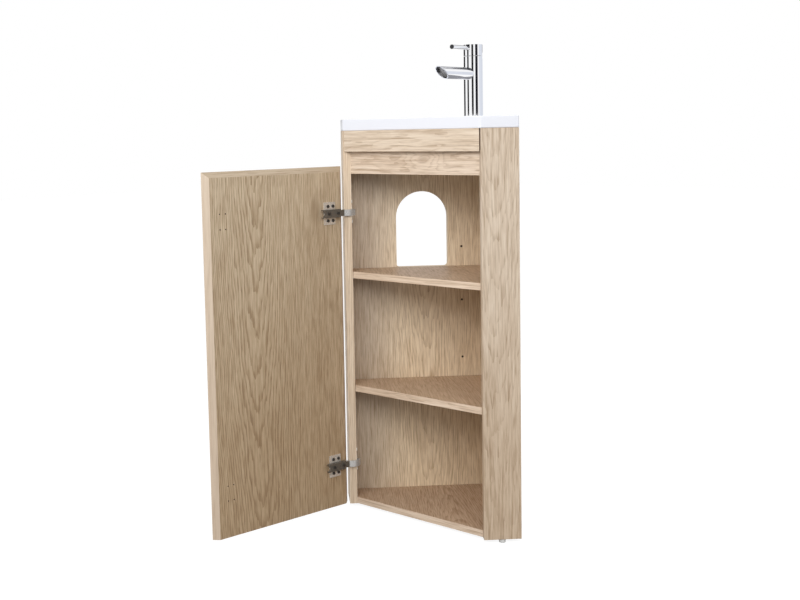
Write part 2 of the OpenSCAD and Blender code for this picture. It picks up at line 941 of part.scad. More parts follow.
module tap_body() {
    color(chrome) at_tap() difference() {
        cylinder(h = body_h, r = tap_r, $fn = round_fn);
        translate([0, 0, chamber_z]) cylinder(h = chamber_h + 1, r = chamber_r, $fn = round_fn);
        difference() {
            translate([0, 0, -1]) cylinder(h = gasket_t + 1, r = gasket_out, $fn = round_fn);
            translate([0, 0, -2]) cylinder(h = gasket_t + 3, r = gasket_in, $fn = round_fn);
        }
        to_front(spout_h) translate([0, 0, spout_in])
            cylinder(h = tap_r, d = spout_d + 2 * press, $fn = round_fn);
        translate([0, channel_y, spout_h - 4]) cylinder(h = body_h, r = channel_r - 1, $fn = fine_fn);
        translate([0, stud_y, -1]) cylinder(h = stud_in + 1, d = stud_d + 2 * press, $fn = fine_fn);
        for (side = [-1, 1]) translate([side * inlet_x, inlet_y, -1])
            cylinder(h = inlet_deep + 1, r = inlet_r, $fn = fine_fn);
    }
}

module tap_gasket() {
    color(rubber) at_tap() difference() {
        cylinder(h = gasket_t, r = gasket_out, $fn = round_fn);
        translate([0, 0, -1]) cylinder(h = gasket_t + 2, r = gasket_in, $fn = round_fn);
    }
}

module tap_spout() {
    color(chrome) at_tap() difference() {
        to_front(spout_h) translate([0, 0, spout_in])
            cylinder(h = spout_reach + 5 - spout_in, d = spout_d, $fn = round_fn);
        to_front(spout_h) translate([0, 0, spout_in + 3])
            cylinder(h = spout_reach + 10, d = spout_bore, $fn = round_fn);
        to_front(spout_h) cylinder(h = spout_in + 5, r = channel_r, $fn = fine_fn);
        translate([0, channel_y, spout_h - 4]) cylinder(h = body_h, r = channel_r - 1, $fn = fine_fn);
        slanted_front(0);
    }
}

// A half space below the plane of the slanted cut
module slanted_front(inset) {
    tilt = atan2(spout_d, spout_slant);
    big = 120;
    translate([0, -spout_reach, spout_h + spout_d / 2]) rotate([-tilt, 0, 0])
        translate([-big / 2, -big / 2, -big + inset]) cube([big, big * 1.5, big]);
}

module aerator() {
    color(nickel) at_tap() difference() {
        intersection() {
            to_front(spout_h) cylinder(h = spout_reach, d = spout_bore - 2 * press, $fn = round_fn);
            slanted_front(aerator_in + aerator_t);
        }
        slanted_front(aerator_in);
    }
}

module tap_cartridge() {
    color(white_plastic) at_tap() translate([0, 0, chamber_z]) difference() {
        cylinder(h = chamber_h - nut_h, r = chamber_r - press, $fn = round_fn);
        translate([0, 0, 6]) cylinder(h = chamber_h, r = stem_r + running, $fn = fine_fn);
        translate([0, channel_y, -1]) cylinder(h = 5, r = channel_r - 1, $fn = fine_fn);
    }
}

module cartridge_nut() {
    color(brass) at_tap() translate([0, 0, body_h - nut_h]) difference() {
        cylinder(h = nut_h, r = chamber_r - press, $fn = round_fn);
        translate([0, 0, -1]) cylinder(h = nut_h + 2, r = chamber_r - 6, $fn = round_fn);
    }
}

cap_z = body_h + cap_gap;
cap_room_r = 17.5;
cap_web = 2;
hub_w = 10;
hub_z = tap_h - 11.5;
hub_r = 11.2;
hub_gap = 0.3;
lever_z = tap_h - 7.5;
lever_pin_d = 3;
tip_len = 2.5;
tip_d = lever_d + 0.6;
stem_in = 8;
tongue_back = 4.6;
web_top = cap_z + cap_web;

module cartridge_stem() {
    color(brass) at_tap() translate([0, 0, chamber_z + 6.5])
        cylinder(h = web_top - chamber_z - 6.5, r = stem_r, $fn = fine_fn);
}

module tap_cap() {
    color(chrome) at_tap() difference() {
        translate([0, 0, cap_z]) cylinder(h = tap_h - cap_z, r = tap_r, $fn = round_fn);
        translate([0, 0, web_top]) cylinder(h = tap_h - 3 - web_top, r = cap_room_r, $fn = round_fn);
        translate([0, 0, cap_z - 1]) cylinder(h = cap_web + 2, r = stem_r + press, $fn = fine_fn);
        translate([-hub_w / 2 - hub_gap, 0, hub_z]) rotate([0, 90, 0])
            cylinder(h = hub_w + 2 * hub_gap, r = hub_r + hub_gap, $fn = round_fn);
        translate([-hub_w / 2 - hub_gap, -tap_r - 1, lever_z - lever_d / 2 - hub_gap])
            cube([hub_w + 2 * hub_gap, tap_r + 1, lever_d + 20]);
        translate([-20, 0, hub_z]) rotate([0, 90, 0])
            cylinder(h = 40, d = lever_pin_d + 2 * press, $fn = fine_fn);
    }
}

module lever_pin() {
    color(steel) at_tap() translate([-20, 0, hub_z]) rotate([0, 90, 0])
        cylinder(h = 40, d = lever_pin_d, $fn = fine_fn);
}

module tap_lever() {
    color(chrome) at_tap() difference() {
        union() {
            translate([-hub_w / 2, 0, hub_z]) rotate([0, 90, 0])
                cylinder(h = hub_w, r = hub_r, $fn = round_fn);
            intersection() {
                translate([-hub_w / 2, -tap_r - 1, lever_z - lever_d / 2])
                    cube([hub_w, tap_r + 1 - tongue_back, tap_h - lever_z + lever_d / 2]);
                cylinder(h = tap_h, r = tap_r, $fn = round_fn);
            }
            to_front(lever_z) cylinder(h = lever_reach - tip_len, d = lever_d, $fn = fine_fn);
        }
        to_front(lever_z) translate([0, 0, lever_reach - tip_len - stem_in])
            cylinder(h = stem_in + 1, d = lever_d / 2 + 2 * press, $fn = fine_fn);
        translate([-hub_w, 0, hub_z]) rotate([0, 90, 0])
            cylinder(h = 2 * hub_w, d = lever_pin_d + 2 * running, $fn = fine_fn);
    }
}

module lever_tip() {
    color(rubber) at_tap() to_front(lever_z) translate([0, 0, lever_reach - tip_len]) {
        cylinder(h = tip_len, d = tip_d, $fn = fine_fn);
        translate([0, 0, -stem_in + 0.2]) cylinder(h = stem_in + 0.8, d = lever_d / 2, $fn = fine_fn);
    }
}

// ---- Fixing of the tap below the basin ----

washer_clear = 1.3;
washer_r = tap_pos / root2 - board_t - washer_clear;
washer_t = 3;
washer_slot = 26;
nut_across = 13;
stud_nut_h = 6.5;

module horseshoe(top) {
    at_tap() translate([0, 0, top - washer_t]) difference() {
        cylinder(h = washer_t, r = washer_r, $fn = round_fn);
        translate([-washer_slot / 2, -washer_r - 1, -1])
            cube([washer_slot, washer_r + 2, washer_t + 2]);
        translate([0, stud_y, -1]) cylinder(h = washer_t + 2, d = stud_d + 2 * press, $fn = fine_fn);
    }
}

module stud_rubber_washer() {
    color(rubber) horseshoe(-slab_t);
}

module stud_horseshoe_washer() {
    color(steel) horseshoe(-slab_t - washer_t);
}

module tap_stud() {
    color(steel) at_tap() translate([0, stud_y, -slab_t - stud_below])
        cylinder(h = slab_t + stud_below + stud_in, d = stud_d, $fn = fine_fn);
}

module stud_nut() {
    color(brass) at_tap() translate([0, stud_y, -slab_t - 2 * washer_t - stud_nut_h]) difference() {
        cylinder(h = stud_nut_h, d = nut_across / cos(30), $fn = 6);
        translate([0, 0, -1]) cylinder(h = stud_nut_h + 2, d = stud_d + 2 * press, $fn = fine_fn);
    }
}

left_side_panel();
right_side_panel();
left_back_panel();
right_back_panel();
floor_panel();
lower_shelf();
upper_shelf();
cross_rail();
fascia_board();
fascia_screws();
rail_blocks();
block_screws();
lower_shelf_pins();
upper_shelf_pins();
cam_bolts();
cam_housings();
wood_dowels();
glide_feet();
glide_nails();
basin();
door_panel();
upper_hinge_cup();
lower_hinge_cup();
hinge_cup_screws();
upper_hinge_pin();
lower_hinge_pin();
upper_hinge_arm();
lower_hinge_arm();
upper_mounting_plate();
lower_mounting_plate();
mounting_plate_screws();
arm_fixing_screws();
arm_adjusting_screws();
tap_body();
tap_gasket();
tap_spout();
aerator();
tap_cartridge();
cartridge_nut();
cartridge_stem();
tap_cap();
tap_lever();
lever_pin();
lever_tip();
tap_stud();
stud_rubber_washer();
stud_horseshoe_washer();
stud_nut();
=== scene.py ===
import math

import bpy
from mathutils import Euler, Matrix, Vector


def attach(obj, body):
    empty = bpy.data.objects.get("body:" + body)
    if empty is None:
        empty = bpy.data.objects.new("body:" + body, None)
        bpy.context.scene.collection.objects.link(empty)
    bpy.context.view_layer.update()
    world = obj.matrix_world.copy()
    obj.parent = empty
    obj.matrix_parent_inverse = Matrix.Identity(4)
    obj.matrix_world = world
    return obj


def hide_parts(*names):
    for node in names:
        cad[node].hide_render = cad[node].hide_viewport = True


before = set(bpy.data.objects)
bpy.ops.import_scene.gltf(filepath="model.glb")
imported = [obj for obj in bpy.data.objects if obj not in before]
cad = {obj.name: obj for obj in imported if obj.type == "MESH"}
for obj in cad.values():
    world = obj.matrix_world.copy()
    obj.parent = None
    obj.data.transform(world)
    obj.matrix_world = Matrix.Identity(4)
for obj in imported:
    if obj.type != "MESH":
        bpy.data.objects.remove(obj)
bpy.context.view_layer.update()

# Corner vanity unit, dressed for its picture: oak boards with eased edges, a cast
# basin, a chrome tap and nickel hinges, all in the places the CAD model gives them.

MM = 0.001
ROOT2 = math.sqrt(2)
WALL_TURN = math.radians(-45)
SMOOTH_ANGLE = math.radians(35)

# Metres within which two points count as one, and as level with each other
MERGE = 2e-6
TOUCH = 1e-5

# How closely a face's normal has to agree with a direction, as a share of one
FLAT_ON = 0.99
NEARLY = 0.9

# Sizes of the unit in millimetres, as in the CAD model. Lengths along a wall start at the
# corner of the room. The front line joins the inner front corners of the two side panels.
WALL = 340
SIDE = 78
BOARD = 17
INNER = WALL - BOARD
SHELF = 15
SHELF_TOPS = (283, 541)
SHELF_PLAY = 0.8
BASE = 8
SLAB_LOW = 855
SLAB_TOP = 880
FASCIA_LOW = 809
RAIL_LOW = 760
DOOR_TOP = 777
DOOR_THICK = 12
FRONT = SIDE + INNER
FRONT_LINE = FRONT / ROOT2
SETBACK = 1
MITRE_GAP = 2.5
HINGE_LEVELS = (103, 674)
OPEN_ANGLE = math.radians(-99)

# How far a cutter starts outside the face it cuts, how much larger a hole's radius is than its
# fitting's, and how far past that radius the middle of a face still counts as the hole's wall
CLEAR = 1
FIT_PLAY = 0.02
HOLE_MARGIN = 0.1


# ---------------------------------------------------------------- bench work

def clear_bench():
    """Leaves edit mode and lets go of every object."""
    if bpy.context.object is not None and bpy.context.object.mode != "OBJECT":
        bpy.ops.object.mode_set(mode="OBJECT")
    bpy.ops.object.select_all(action="DESELECT")


def take(piece):
    """Picks up one piece alone."""
    clear_bench()
    piece.select_set(True)
    bpy.context.view_layer.objects.active = piece


def settle(piece):
    """Puts the place, turn and size of a piece into its mesh."""
    take(piece)
    bpy.ops.object.transform_apply(location=True, rotation=True, scale=True)


def at(x, y, z):
    """A place given in millimetres."""
    return Vector((x * MM, y * MM, z * MM))


def wall_point(a, b, z=0.0):
    """A place given along the right wall (a), the left wall (b) and up."""
    return Vector(((a - b) / ROOT2, -(a + b) / ROOT2, z)) * MM


def block(name, low, high, turn=0.0):
    """A box from its low to its high corner in millimetres, turned about the room corner."""
    clear_bench()
    low, high = Vector(low) * MM, Vector(high) * MM
    bpy.ops.mesh.primitive_cube_add(size=1, location=(low + high) / 2)
    piece = bpy.context.object
    piece.name = name
    piece.scale = high - low
    settle(piece)
    if turn:
        piece.rotation_euler = (0, 0, turn)
        settle(piece)
    return piece


def board(name, a, b, z):
    """A board that lies along the walls: its spans along the right wall, the left wall and up."""
    return block(name, (a[0], -b[1], z[0]), (a[1], -b[0], z[1]), WALL_TURN)


def rod(name, start, end, radius, sides=64):
    """A round bar between two points in metres."""
    clear_bench()
    start, end = Vector(start), Vector(end)
    along = end - start
    bpy.ops.mesh.primitive_cylinder_add(
        vertices=sides, radius=radius * MM, depth=along.length, location=(start + end) / 2)
    piece = bpy.context.object
    piece.name = name
    piece.rotation_mode = "QUATERNION"
    piece.rotation_quaternion = along.to_track_quat("Z", "Y")
    settle(piece)
    piece.rotation_mode = "XYZ"
    return piece


def open_edit(piece):
    """Opens a piece for editing with all of it picked."""
    take(piece)
    bpy.ops.object.mode_set(mode="EDIT")
    bpy.ops.mesh.select_all(action="SELECT")


def close_edit():
    bpy.ops.object.mode_set(mode="OBJECT")


def saw(piece, point, normal):
    """Cuts off everything on the side that the normal points to and closes the cut."""
    open_edit(piece)
    bpy.ops.mesh.bisect(
        plane_co=point, plane_no=Vector(normal).normalized(), use_fill=True,
        clear_outer=True, clear_inner=False)
    close_edit()


def gather(pieces, name):
    """Joins pieces into one object."""
    clear_bench()
    for p in pieces:
        p.select_set(True)
    bpy.context.view_layer.objects.active = pieces[0]
    if len(pieces) > 1:
        bpy.ops.object.join()
    made = bpy.context.object
    made.name = name
    return made


def bore(piece, cutters, mode="DIFFERENCE"):
    """Takes the cutters' shapes out of the piece, or adds them to it."""
    for cutter in cutters:
        take(piece)
        change = piece.modifiers.new("bore", "BOOLEAN")
        change.operation = mode
        change.solver = "EXACT"
        change.object = cutter
        bpy.ops.object.modifier_apply(modifier=change.name)
        bpy.data.objects.remove(cutter)
    return piece


def ease(piece, width, steps=2, angle=30):
    """Rounds the sharp edges of a piece by a width in millimetres."""
    take(piece)
    soft = piece.modifiers.new("ease", "BEVEL")
    soft.width = width * MM
    soft.segments = steps
    soft.limit_method = "ANGLE"
    soft.angle_limit = math.radians(angle)
    bpy.ops.object.modifier_apply(modifier=soft.name)
    bpy.ops.object.shade_smooth_by_angle(angle=SMOOTH_ANGLE)
    even = piece.modifiers.new("even", "WEIGHTED_NORMAL")
    even.keep_sharp = True
    even.weight = 100
    bpy.ops.object.modifier_apply(modifier=even.name)
    return piece


def tidy_mesh(piece):
    """Merges doubled points, joins flat triangles and points the faces outwards."""
    open_edit(piece)
    bpy.ops.mesh.remove_doubles(threshold=MERGE)
    bpy.ops.mesh.dissolve_limited(angle_limit=math.radians(1))
    bpy.ops.mesh.normals_make_consistent(inside=False)
    close_edit()


def pick_none(piece, kind):
    """Leaves none of a piece's faces or edges picked."""
    open_edit(piece)
    bpy.ops.mesh.select_mode(type=kind)
    bpy.ops.mesh.select_all(action="DESELECT")
    close_edit()


def pick_faces(piece, test):
    """Opens a piece for editing with only those faces picked that pass the test."""
    pick_none(piece, "FACE")
    for face in piece.data.polygons:
        face.select = bool(test(face))
    bpy.ops.object.mode_set(mode="EDIT")


def pick_level_edges(piece, level, longest=math.inf):
    """Opens a piece for editing with only the edges picked that lie at a level and aren't
    longer than the longest."""
    pick_none(piece, "EDGE")
    points = piece.data.vertices
    for edge in piece.data.edges:
        p, q = (points[number].co for number in edge.vertices)
        off_level = max(abs(p.z - level * MM), abs(q.z - level * MM))
        edge.select = off_level < TOUCH and (p - q).length < longest * MM
    bpy.ops.object.mode_set(mode="EDIT")


def bevel_picked(width, steps):
    """Rounds the picked edges by a width in millimetres and closes the piece."""
    bpy.ops.mesh.bevel(offset=width * MM, segments=steps, affect="EDGES")
    close_edit()


def push_picked(x, y, z):
    """Pulls the picked faces out or pushes them in, by millimetres, and closes the piece."""
    bpy.ops.mesh.extrude_region_move(TRANSFORM_OT_translate={"value": at(x, y, z)})
    close_edit()


def eased_copy(name, source, width, steps=2):
    """A copy of a machined CAD part with its arrises broken."""
    take(source)
    bpy.ops.object.duplicate()
    piece = bpy.context.object
    piece.parent = None
    piece.matrix_world = Matrix.Identity(4)
    piece.name = name
    for key in list(piece.keys()):
        if key.startswith("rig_"):
            del piece[key]
    tidy_mesh(piece)
    return ease(piece, width, steps, angle=25)


def fit(piece, body, slot, *nodes):
    """Hands a finished piece to its moving body in place of the CAD parts it stands for."""
    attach(piece, body)
    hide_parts(*nodes)


def dress(piece, *finishes, pick=None):
    """Gives a piece its finishes. Where there are more than one, pick gives the number in the
    list for each face."""
    piece.data.materials.clear()
    for finish in finishes:
        piece.data.materials.append(finish)
    if pick:
        for face in piece.data.polygons:
            face.material_index = pick(face)
    return piece


# ---------------------------------------------------------------- finishes

def put(tree, kind, inputs=None, **settings):
    """Adds a shader node, sets it up and wires its inputs."""
    made = tree.nodes.new(kind)
    for key, value in settings.items():
        setattr(made, key, value)
    for key, value in (inputs or {}).items():
        if isinstance(value, bpy.types.NodeSocket):
            tree.links.new(value, made.inputs[key])
        else:
            made.inputs[key].default_value = value
    return made


def tones(tree, factor, stops):
    """A colour ramp with the stops given as (place, colour)."""
    ramp = put(tree, "ShaderNodeValToRGB", {"Fac": factor})
    bar = ramp.color_ramp.elements
    while len(bar) > 1:
        bar.remove(bar[-1])
    bar[0].position, bar[0].color = stops[0][0], (*stops[0][1], 1)
    for place, colour in stops[1:]:
        stop = bar.new(place)
        stop.color = (*colour, 1)
    return ramp.outputs["Color"]


def figures(tree, a, operation, b):
    """One sum on two values."""
    return put(tree, "ShaderNodeMath", {0: a, 1: b}, operation=operation).outputs[0]


def vectors(tree, a, operation, b):
    """One sum on two vectors."""
    return put(tree, "ShaderNodeVectorMath", {0: a, 1: b}, operation=operation).outputs[0]


def ranged(tree, value, span=(0.0, 1.0), onto=(0.0, 1.0), smooth=False):
    """Maps a span of values onto another, and holds it at both ends."""
    made = put(tree, "ShaderNodeMapRange", {"Value": value, "From Min": span[0], "From Max": span[1],
                                            "To Min": onto[0], "To Max": onto[1]},
               interpolation_type="SMOOTHSTEP" if smooth else "LINEAR")
    return made.outputs[0]


def lay_over(tree, share, under, over, way="MIX"):
    """Lays one colour over another by a share that changes over the surface."""
    return put(tree, "ShaderNodeMix", {0: share, 6: under, 7: (*over, 1)},
               data_type="RGBA", blend_type=way).outputs[2]


def blank_finish(name):
    """A new material with its node tree and its shader."""
    finish = bpy.data.materials.new(name)
    finish.use_nodes = True
    return finish, finish.node_tree, finish.node_tree.nodes["Principled BSDF"]


def surface(tree, skin, colour, gloss, height, strength, distance):
    """Wires a colour, a gloss and a fine relief into the shader."""
    tree.links.new(colour, skin.inputs["Base Color"])
    tree.links.new(gloss, skin.inputs["Roughness"])
    if strength:
        relief = put(tree, "ShaderNodeBump", {"Height": height, "Strength": strength, "Distance": distance})
        tree.links.new(relief.outputs[0], skin.inputs["Normal"])


def shader_group(name, inputs, outputs):
    """A new shader group with its named inputs and outputs."""
    tree = bpy.data.node_groups.new(name, "ShaderNodeTree")
    for label, kind, value in inputs:
        socket = tree.interface.new_socket(label, in_out="INPUT", socket_type=kind)
        if value is not None:
            socket.default_value = value
    for label, kind in outputs:
        tree.interface.new_socket(label, in_out="OUTPUT", socket_type=kind)
    return tree, tree.nodes.new("NodeGroupInput"), tree.nodes.new("NodeGroupOutput")


def make_oak_figure():
    """Growth rings, fibres, pores, broad tone and one knot of a log that stands along Z.
    Face is the place on the board from the middle of its figure, Log the place from the pith."""
    tree, given, result = shader_group(
        "oak_figure",
        [("Face", "NodeSocketVector", None), ("Log", "NodeSocketVector", None),
         ("Ring Scale", "NodeSocketFloat", 60.0), ("Wander", "NodeSocketFloat", 0.03),
         ("Knot Place", "NodeSocketVector", None), ("Knot Size", "NodeSocketFloat", 0.010)],
        [("Rings", "NodeSocketFloat"), ("Streaks", "NodeSocketFloat"), ("Fibres", "NodeSocketFloat"),
         ("Pores", "NodeSocketFloat"), ("Cloud", "NodeSocketFloat"), ("Knot", "NodeSocketFloat")])
    face = given.outputs["Face"]
    log = given.outputs["Log"]

    def noise(source, factors, detail, rough=0.5):
        return put(tree, "ShaderNodeTexNoise", {"Vector": vectors(tree, source, "MULTIPLY", factors),
                                                "Scale": 1.0, "Detail": detail, "Roughness": rough}).outputs

    def shift(source, amount):
        centred = vectors(tree, source, "SUBTRACT", (0.5, 0.5, 0.5))
        return put(tree, "ShaderNodeVectorMath", {0: centred, "Scale": amount},
                   operation="SCALE").outputs[0]

    away = vectors(tree, face, "SUBTRACT", given.outputs["Knot Place"])
    oval = vectors(tree, away, "MULTIPLY", (1.0, 0.0, 0.45))
    far = put(tree, "ShaderNodeVectorMath", {0: oval}, operation="LENGTH").outputs["Value"]
    near = figures(tree, far, "DIVIDE", given.outputs["Knot Size"])
    knot = ranged(tree, near, (0.35, 1.3), (1.0, 0.0), smooth=True)
    swirl = ranged(tree, near, (0.0, 5.0), (0.010, 0.0), smooth=True)
    slow = noise(log, (6.0, 6.0, 1.8), 2.0, 0.45)["Color"]
    quick = noise(log, (90.0, 90.0, 14.0), 2.0)["Color"]
    bent = vectors(tree, log, "ADD", shift(slow, given.outputs["Wander"]))
    bent = vectors(tree, bent, "ADD", shift(quick, 0.0060))
    bent = vectors(tree, bent, "ADD", put(tree, "ShaderNodeCombineXYZ", {"Y": swirl}).outputs[0])
    ring = put(tree, "ShaderNodeTexWave", {"Vector": bent, "Scale": given.outputs["Ring Scale"],
                                           "Distortion": 0.6, "Detail": 1.0, "Detail Scale": 0.5},
               wave_type="RINGS", rings_direction="Z", wave_profile="SAW")
    early = ranged(tree, ring.outputs["Fac"], (0.45, 0.95), smooth=True)
    streaks = noise(log, (240.0, 240.0, 6.0), 3.0, 0.6)["Fac"]
    fibres = noise(log, (420.0, 420.0, 20.0), 3.0, 0.65)["Fac"]
    specks = ranged(tree, noise(log, (310.0, 310.0, 18.0), 1.0)["Fac"], (0.52, 0.64))
    pores = figures(tree, specks, "MULTIPLY", ranged(tree, early, onto=(0.30, 1.0)))
    cloud = noise(face, (14.0, 14.0, 2.6), 3.0, 0.55)["Fac"]
    for label, socket in (("Rings", early), ("Streaks", streaks), ("Fibres", fibres), ("Pores", pores),
                          ("Cloud", cloud), ("Knot", knot)):
        tree.links.new(socket, result.inputs[label])
    return tree


oak_figure = make_oak_figure()

# Pale wood, middle, dark growth and the dark of the pores
OAK_TONES = [(0.840, 0.710, 0.560), (0.710, 0.572, 0.428), (0.490, 0.362, 0.245), (0.36, 0.245, 0.155)]

# How much each part of the figure darkens the wood, and the sum at which it has its middle tone
RING_SHARE = 0.28
STREAK_SHARE = 1.05
FIBRE_SHARE = 0.75
CLOUD_SHARE = 0.30
MIDDLE_SHADE = 1.03
RING_LIFT = 0.06
KNOT_DARK = 0.48

# Where the painted shade at a board's foot and at its left edge comes in, in metres from the figure's middle
FOOT_SHADE_SPAN = (0.38, -0.40)
EDGE_SHADE_SPAN = (-0.03, -0.15)


def oak(name, turn=0.0, flat=False, centre=(0, 0, 0), depth=50, lean=0.05, slant=0.0, ring_scale=60.0,
        figure=0.5, tone=(1.0, 1.0, 1.0), foot=(1.0, 1.0, 1.0), edge=(1.0, 1.0, 1.0),
        knot=(500, 500), knot_size=9, reach=0.36, pores=0.46, seed=0.0):
    """Lacquered pale oak. The board is turned so that X runs across its face and Z along its
    grain; flat boards have their grain along the front. The figure's middle is at a place on
    the board, and the pith stands some way behind it and leans, so the rings show as arches."""
    finish, tree, skin = blank_finish(name)
    skin.inputs["Specular IOR Level"].default_value = 0.35
    where = put(tree, "ShaderNodeTexCoord")
    basis = Matrix.Rotation(-math.pi / 2 if flat else 0.0, 3, "Y") @ Matrix.Rotation(turn, 3, "Z")
    face = put(tree, "ShaderNodeMapping", {"Vector": where.outputs["Object"], "Rotation": basis.to_euler(),
                                           "Location": -(basis @ (Vector(centre) * MM))}).outputs[0]
    log = put(tree, "ShaderNodeMapping", {"Vector": face, "Location": (0.0, depth * MM, seed),
                                          "Rotation": (lean, slant, 0.0)}).outputs[0]
    grain = put(tree, "ShaderNodeGroup", {"Face": face, "Log": log, "Ring Scale": ring_scale,
                                          "Knot Place": (knot[0] * MM, 0.0, knot[1] * MM),
                                          "Knot Size": knot_size * MM}, node_tree=oak_figure).outputs
    rings = figures(tree, grain["Rings"], "MULTIPLY", RING_SHARE * figure)
    streaks = figures(tree, grain["Streaks"], "MULTIPLY", STREAK_SHARE)
    fibres = figures(tree, grain["Fibres"], "MULTIPLY", FIBRE_SHARE)
    cloud = figures(tree, grain["Cloud"], "MULTIPLY", CLOUD_SHARE)
    shade = figures(tree, figures(tree, rings, "ADD", fibres), "ADD", figures(tree, streaks, "ADD", cloud))
    middle = MIDDLE_SHADE + RING_LIFT * figure
    shade = ranged(tree, shade, (middle - reach, middle + reach))
    pale, mid, deep, dark = (tuple(c * t for c, t in zip(wood, tone)) for wood in OAK_TONES)
    colour = tones(tree, shade, [(0.0, pale), (0.5, mid), (1.0, deep)])
    colour = lay_over(tree, figures(tree, grain["Pores"], "MULTIPLY", pores), colour, dark)
    colour = lay_over(tree, figures(tree, grain["Knot"], "MULTIPLY", KNOT_DARK), colour, dark)
    spot = put(tree, "ShaderNodeSeparateXYZ", {0: face}).outputs
    # Painted shade: foot darkens the colour towards the board's foot, and edge darkens it towards its left
    # edge
    for line, span, change in (("Z", FOOT_SHADE_SPAN, foot), ("X", EDGE_SHADE_SPAN, edge)):
        share = ranged(tree, spot[line], span, smooth=True)
        colour = lay_over(tree, share, colour, change, "MULTIPLY")
    gloss = ranged(tree, grain["Fibres"], onto=(0.40, 0.62))
    height = figures(tree, grain["Fibres"], "SUBTRACT", grain["Pores"])
    surface(tree, skin, colour, gloss, height, strength=0.12, distance=0.0004)
    return finish


def metal(name, colour, rough, spread, grain_scale=(900.0, 900.0, 900.0), relief=0.02, bare=1.0):
    """A plated or turned metal with faint rubbing marks in its gloss. Bare is the share of it
    that mirrors as metal does; the rest looks like a matt skin."""
    finish, tree, skin = blank_finish(name)
    skin.inputs["Metallic"].default_value = bare
    where = put(tree, "ShaderNodeTexCoord")
    scaled = vectors(tree, where.outputs["Object"], "MULTIPLY", grain_scale)
    rub = put(tree, "ShaderNodeTexNoise", {"Vector": scaled, "Scale": 1.0, "Detail": 3.0}).outputs["Fac"]
    tint = tones(tree, rub, [(0.25, tuple(c * 0.96 for c in colour)), (0.75, colour)])
    gloss = ranged(tree, rub, onto=(rough, rough + spread))
    surface(tree, skin, tint, gloss, rub, relief, distance=0.0002)
    return finish


def cast(name, colour, darker, rough, spread, scale, relief, coat=0.0, amount=0.0002):
    """A moulded or cast surface: soft tone drift, a changing gloss and a fine skin."""
    finish, tree, skin = blank_finish(name)
    where = put(tree, "ShaderNodeTexCoord").outputs["Object"]
    drift = put(tree, "ShaderNodeTexNoise", {"Vector": where, "Scale": scale, "Detail": 4.0,
                                             "Roughness": 0.6}).outputs["Fac"]
    fine = put(tree, "ShaderNodeTexNoise", {"Vector": where, "Scale": scale * 30, "Detail": 2.0})
    tint = tones(tree, drift, [(0.3, darker), (0.7, colour)])
    gloss = ranged(tree, drift, onto=(rough, rough + spread))
    surface(tree, skin, tint, gloss, fine.outputs["Fac"], relief, amount)
    if coat:
        skin.inputs["Coat Weight"].default_value = coat
        skin.inputs["Coat Roughness"].default_value = 0.08
    return finish


# The foot tones darken the boards towards the bottom as painted shade
door_oak = oak("door_oak", turn=-OPEN_ANGLE, centre=(-241, -527, 400), depth=42, lean=0.055,
               ring_scale=80, figure=1.15, tone=(0.88, 0.865, 0.80), foot=(0.83, 0.75, 0.66),
               knot=(-161, 282), knot_size=16, reach=0.31, pores=0.58)
door_band_oak = oak("door_band_oak", turn=-OPEN_ANGLE, flat=True, centre=(-237, -501, 771), depth=90,
                    lean=0.01, figure=0.2, tone=(0.73, 0.72, 0.69), reach=0.45, seed=11.0)
door_edge_oak = oak("door_edge_oak", turn=-OPEN_ANGLE, centre=(-240, -640, 400), depth=90, lean=0.01,
                    figure=0.1, tone=(0.97, 0.98, 1.01), foot=(0.93, 0.90, 0.88), reach=0.80, pores=0.20,
                    seed=12.0)
left_side_oak = oak("left_side_oak", turn=-WALL_TURN, centre=(-190, -280, 400), depth=120, lean=0.02,
                    tone=(1.08, 1.08, 1.08), reach=0.45, seed=1.0)
right_side_oak = oak("right_side_oak", turn=WALL_TURN, centre=(205, -276, 400), depth=95, lean=0.03,
                     ring_scale=105, figure=0.45, tone=(0.99, 1.01, 1.05), foot=(0.87, 0.81, 0.74), seed=2.0)
# Painted light and shade: the left back panel's tone is lifted for the light inside the cabinet, and
# darkened towards its left edge
left_back_oak = oak("left_back_oak", turn=WALL_TURN, centre=(-95, -120, 400), depth=36, lean=0.06,
                    ring_scale=84, figure=0.7, tone=(1.19, 1.23, 1.22), foot=(0.88, 0.85, 0.80),
                    edge=(0.70, 0.70, 0.74), seed=3.0)
# Painted light: the right back panel's tone is lifted against the shade in the room corner
right_back_oak = oak("right_back_oak", turn=-WALL_TURN, centre=(120, -145, 400), depth=36, lean=0.06,
                     ring_scale=84, figure=0.7, tone=(1.14, 1.13, 1.11), foot=(0.97, 0.93, 0.89), seed=4.0)
fascia_oak = oak("fascia_oak", flat=True, centre=(-60, -296, 838), depth=110, lean=0.012, ring_scale=120,
                 figure=0.4, tone=(1.05, 1.07, 1.11), reach=0.34, seed=5.0)
rail_oak = oak("rail_oak", flat=True, centre=(30, -284, 792), depth=95, lean=0.02, ring_scale=120,
               figure=0.45, tone=(1.05, 1.05, 1.09), knot=(0.5, 0), knot_size=7, reach=0.30, seed=6.0)
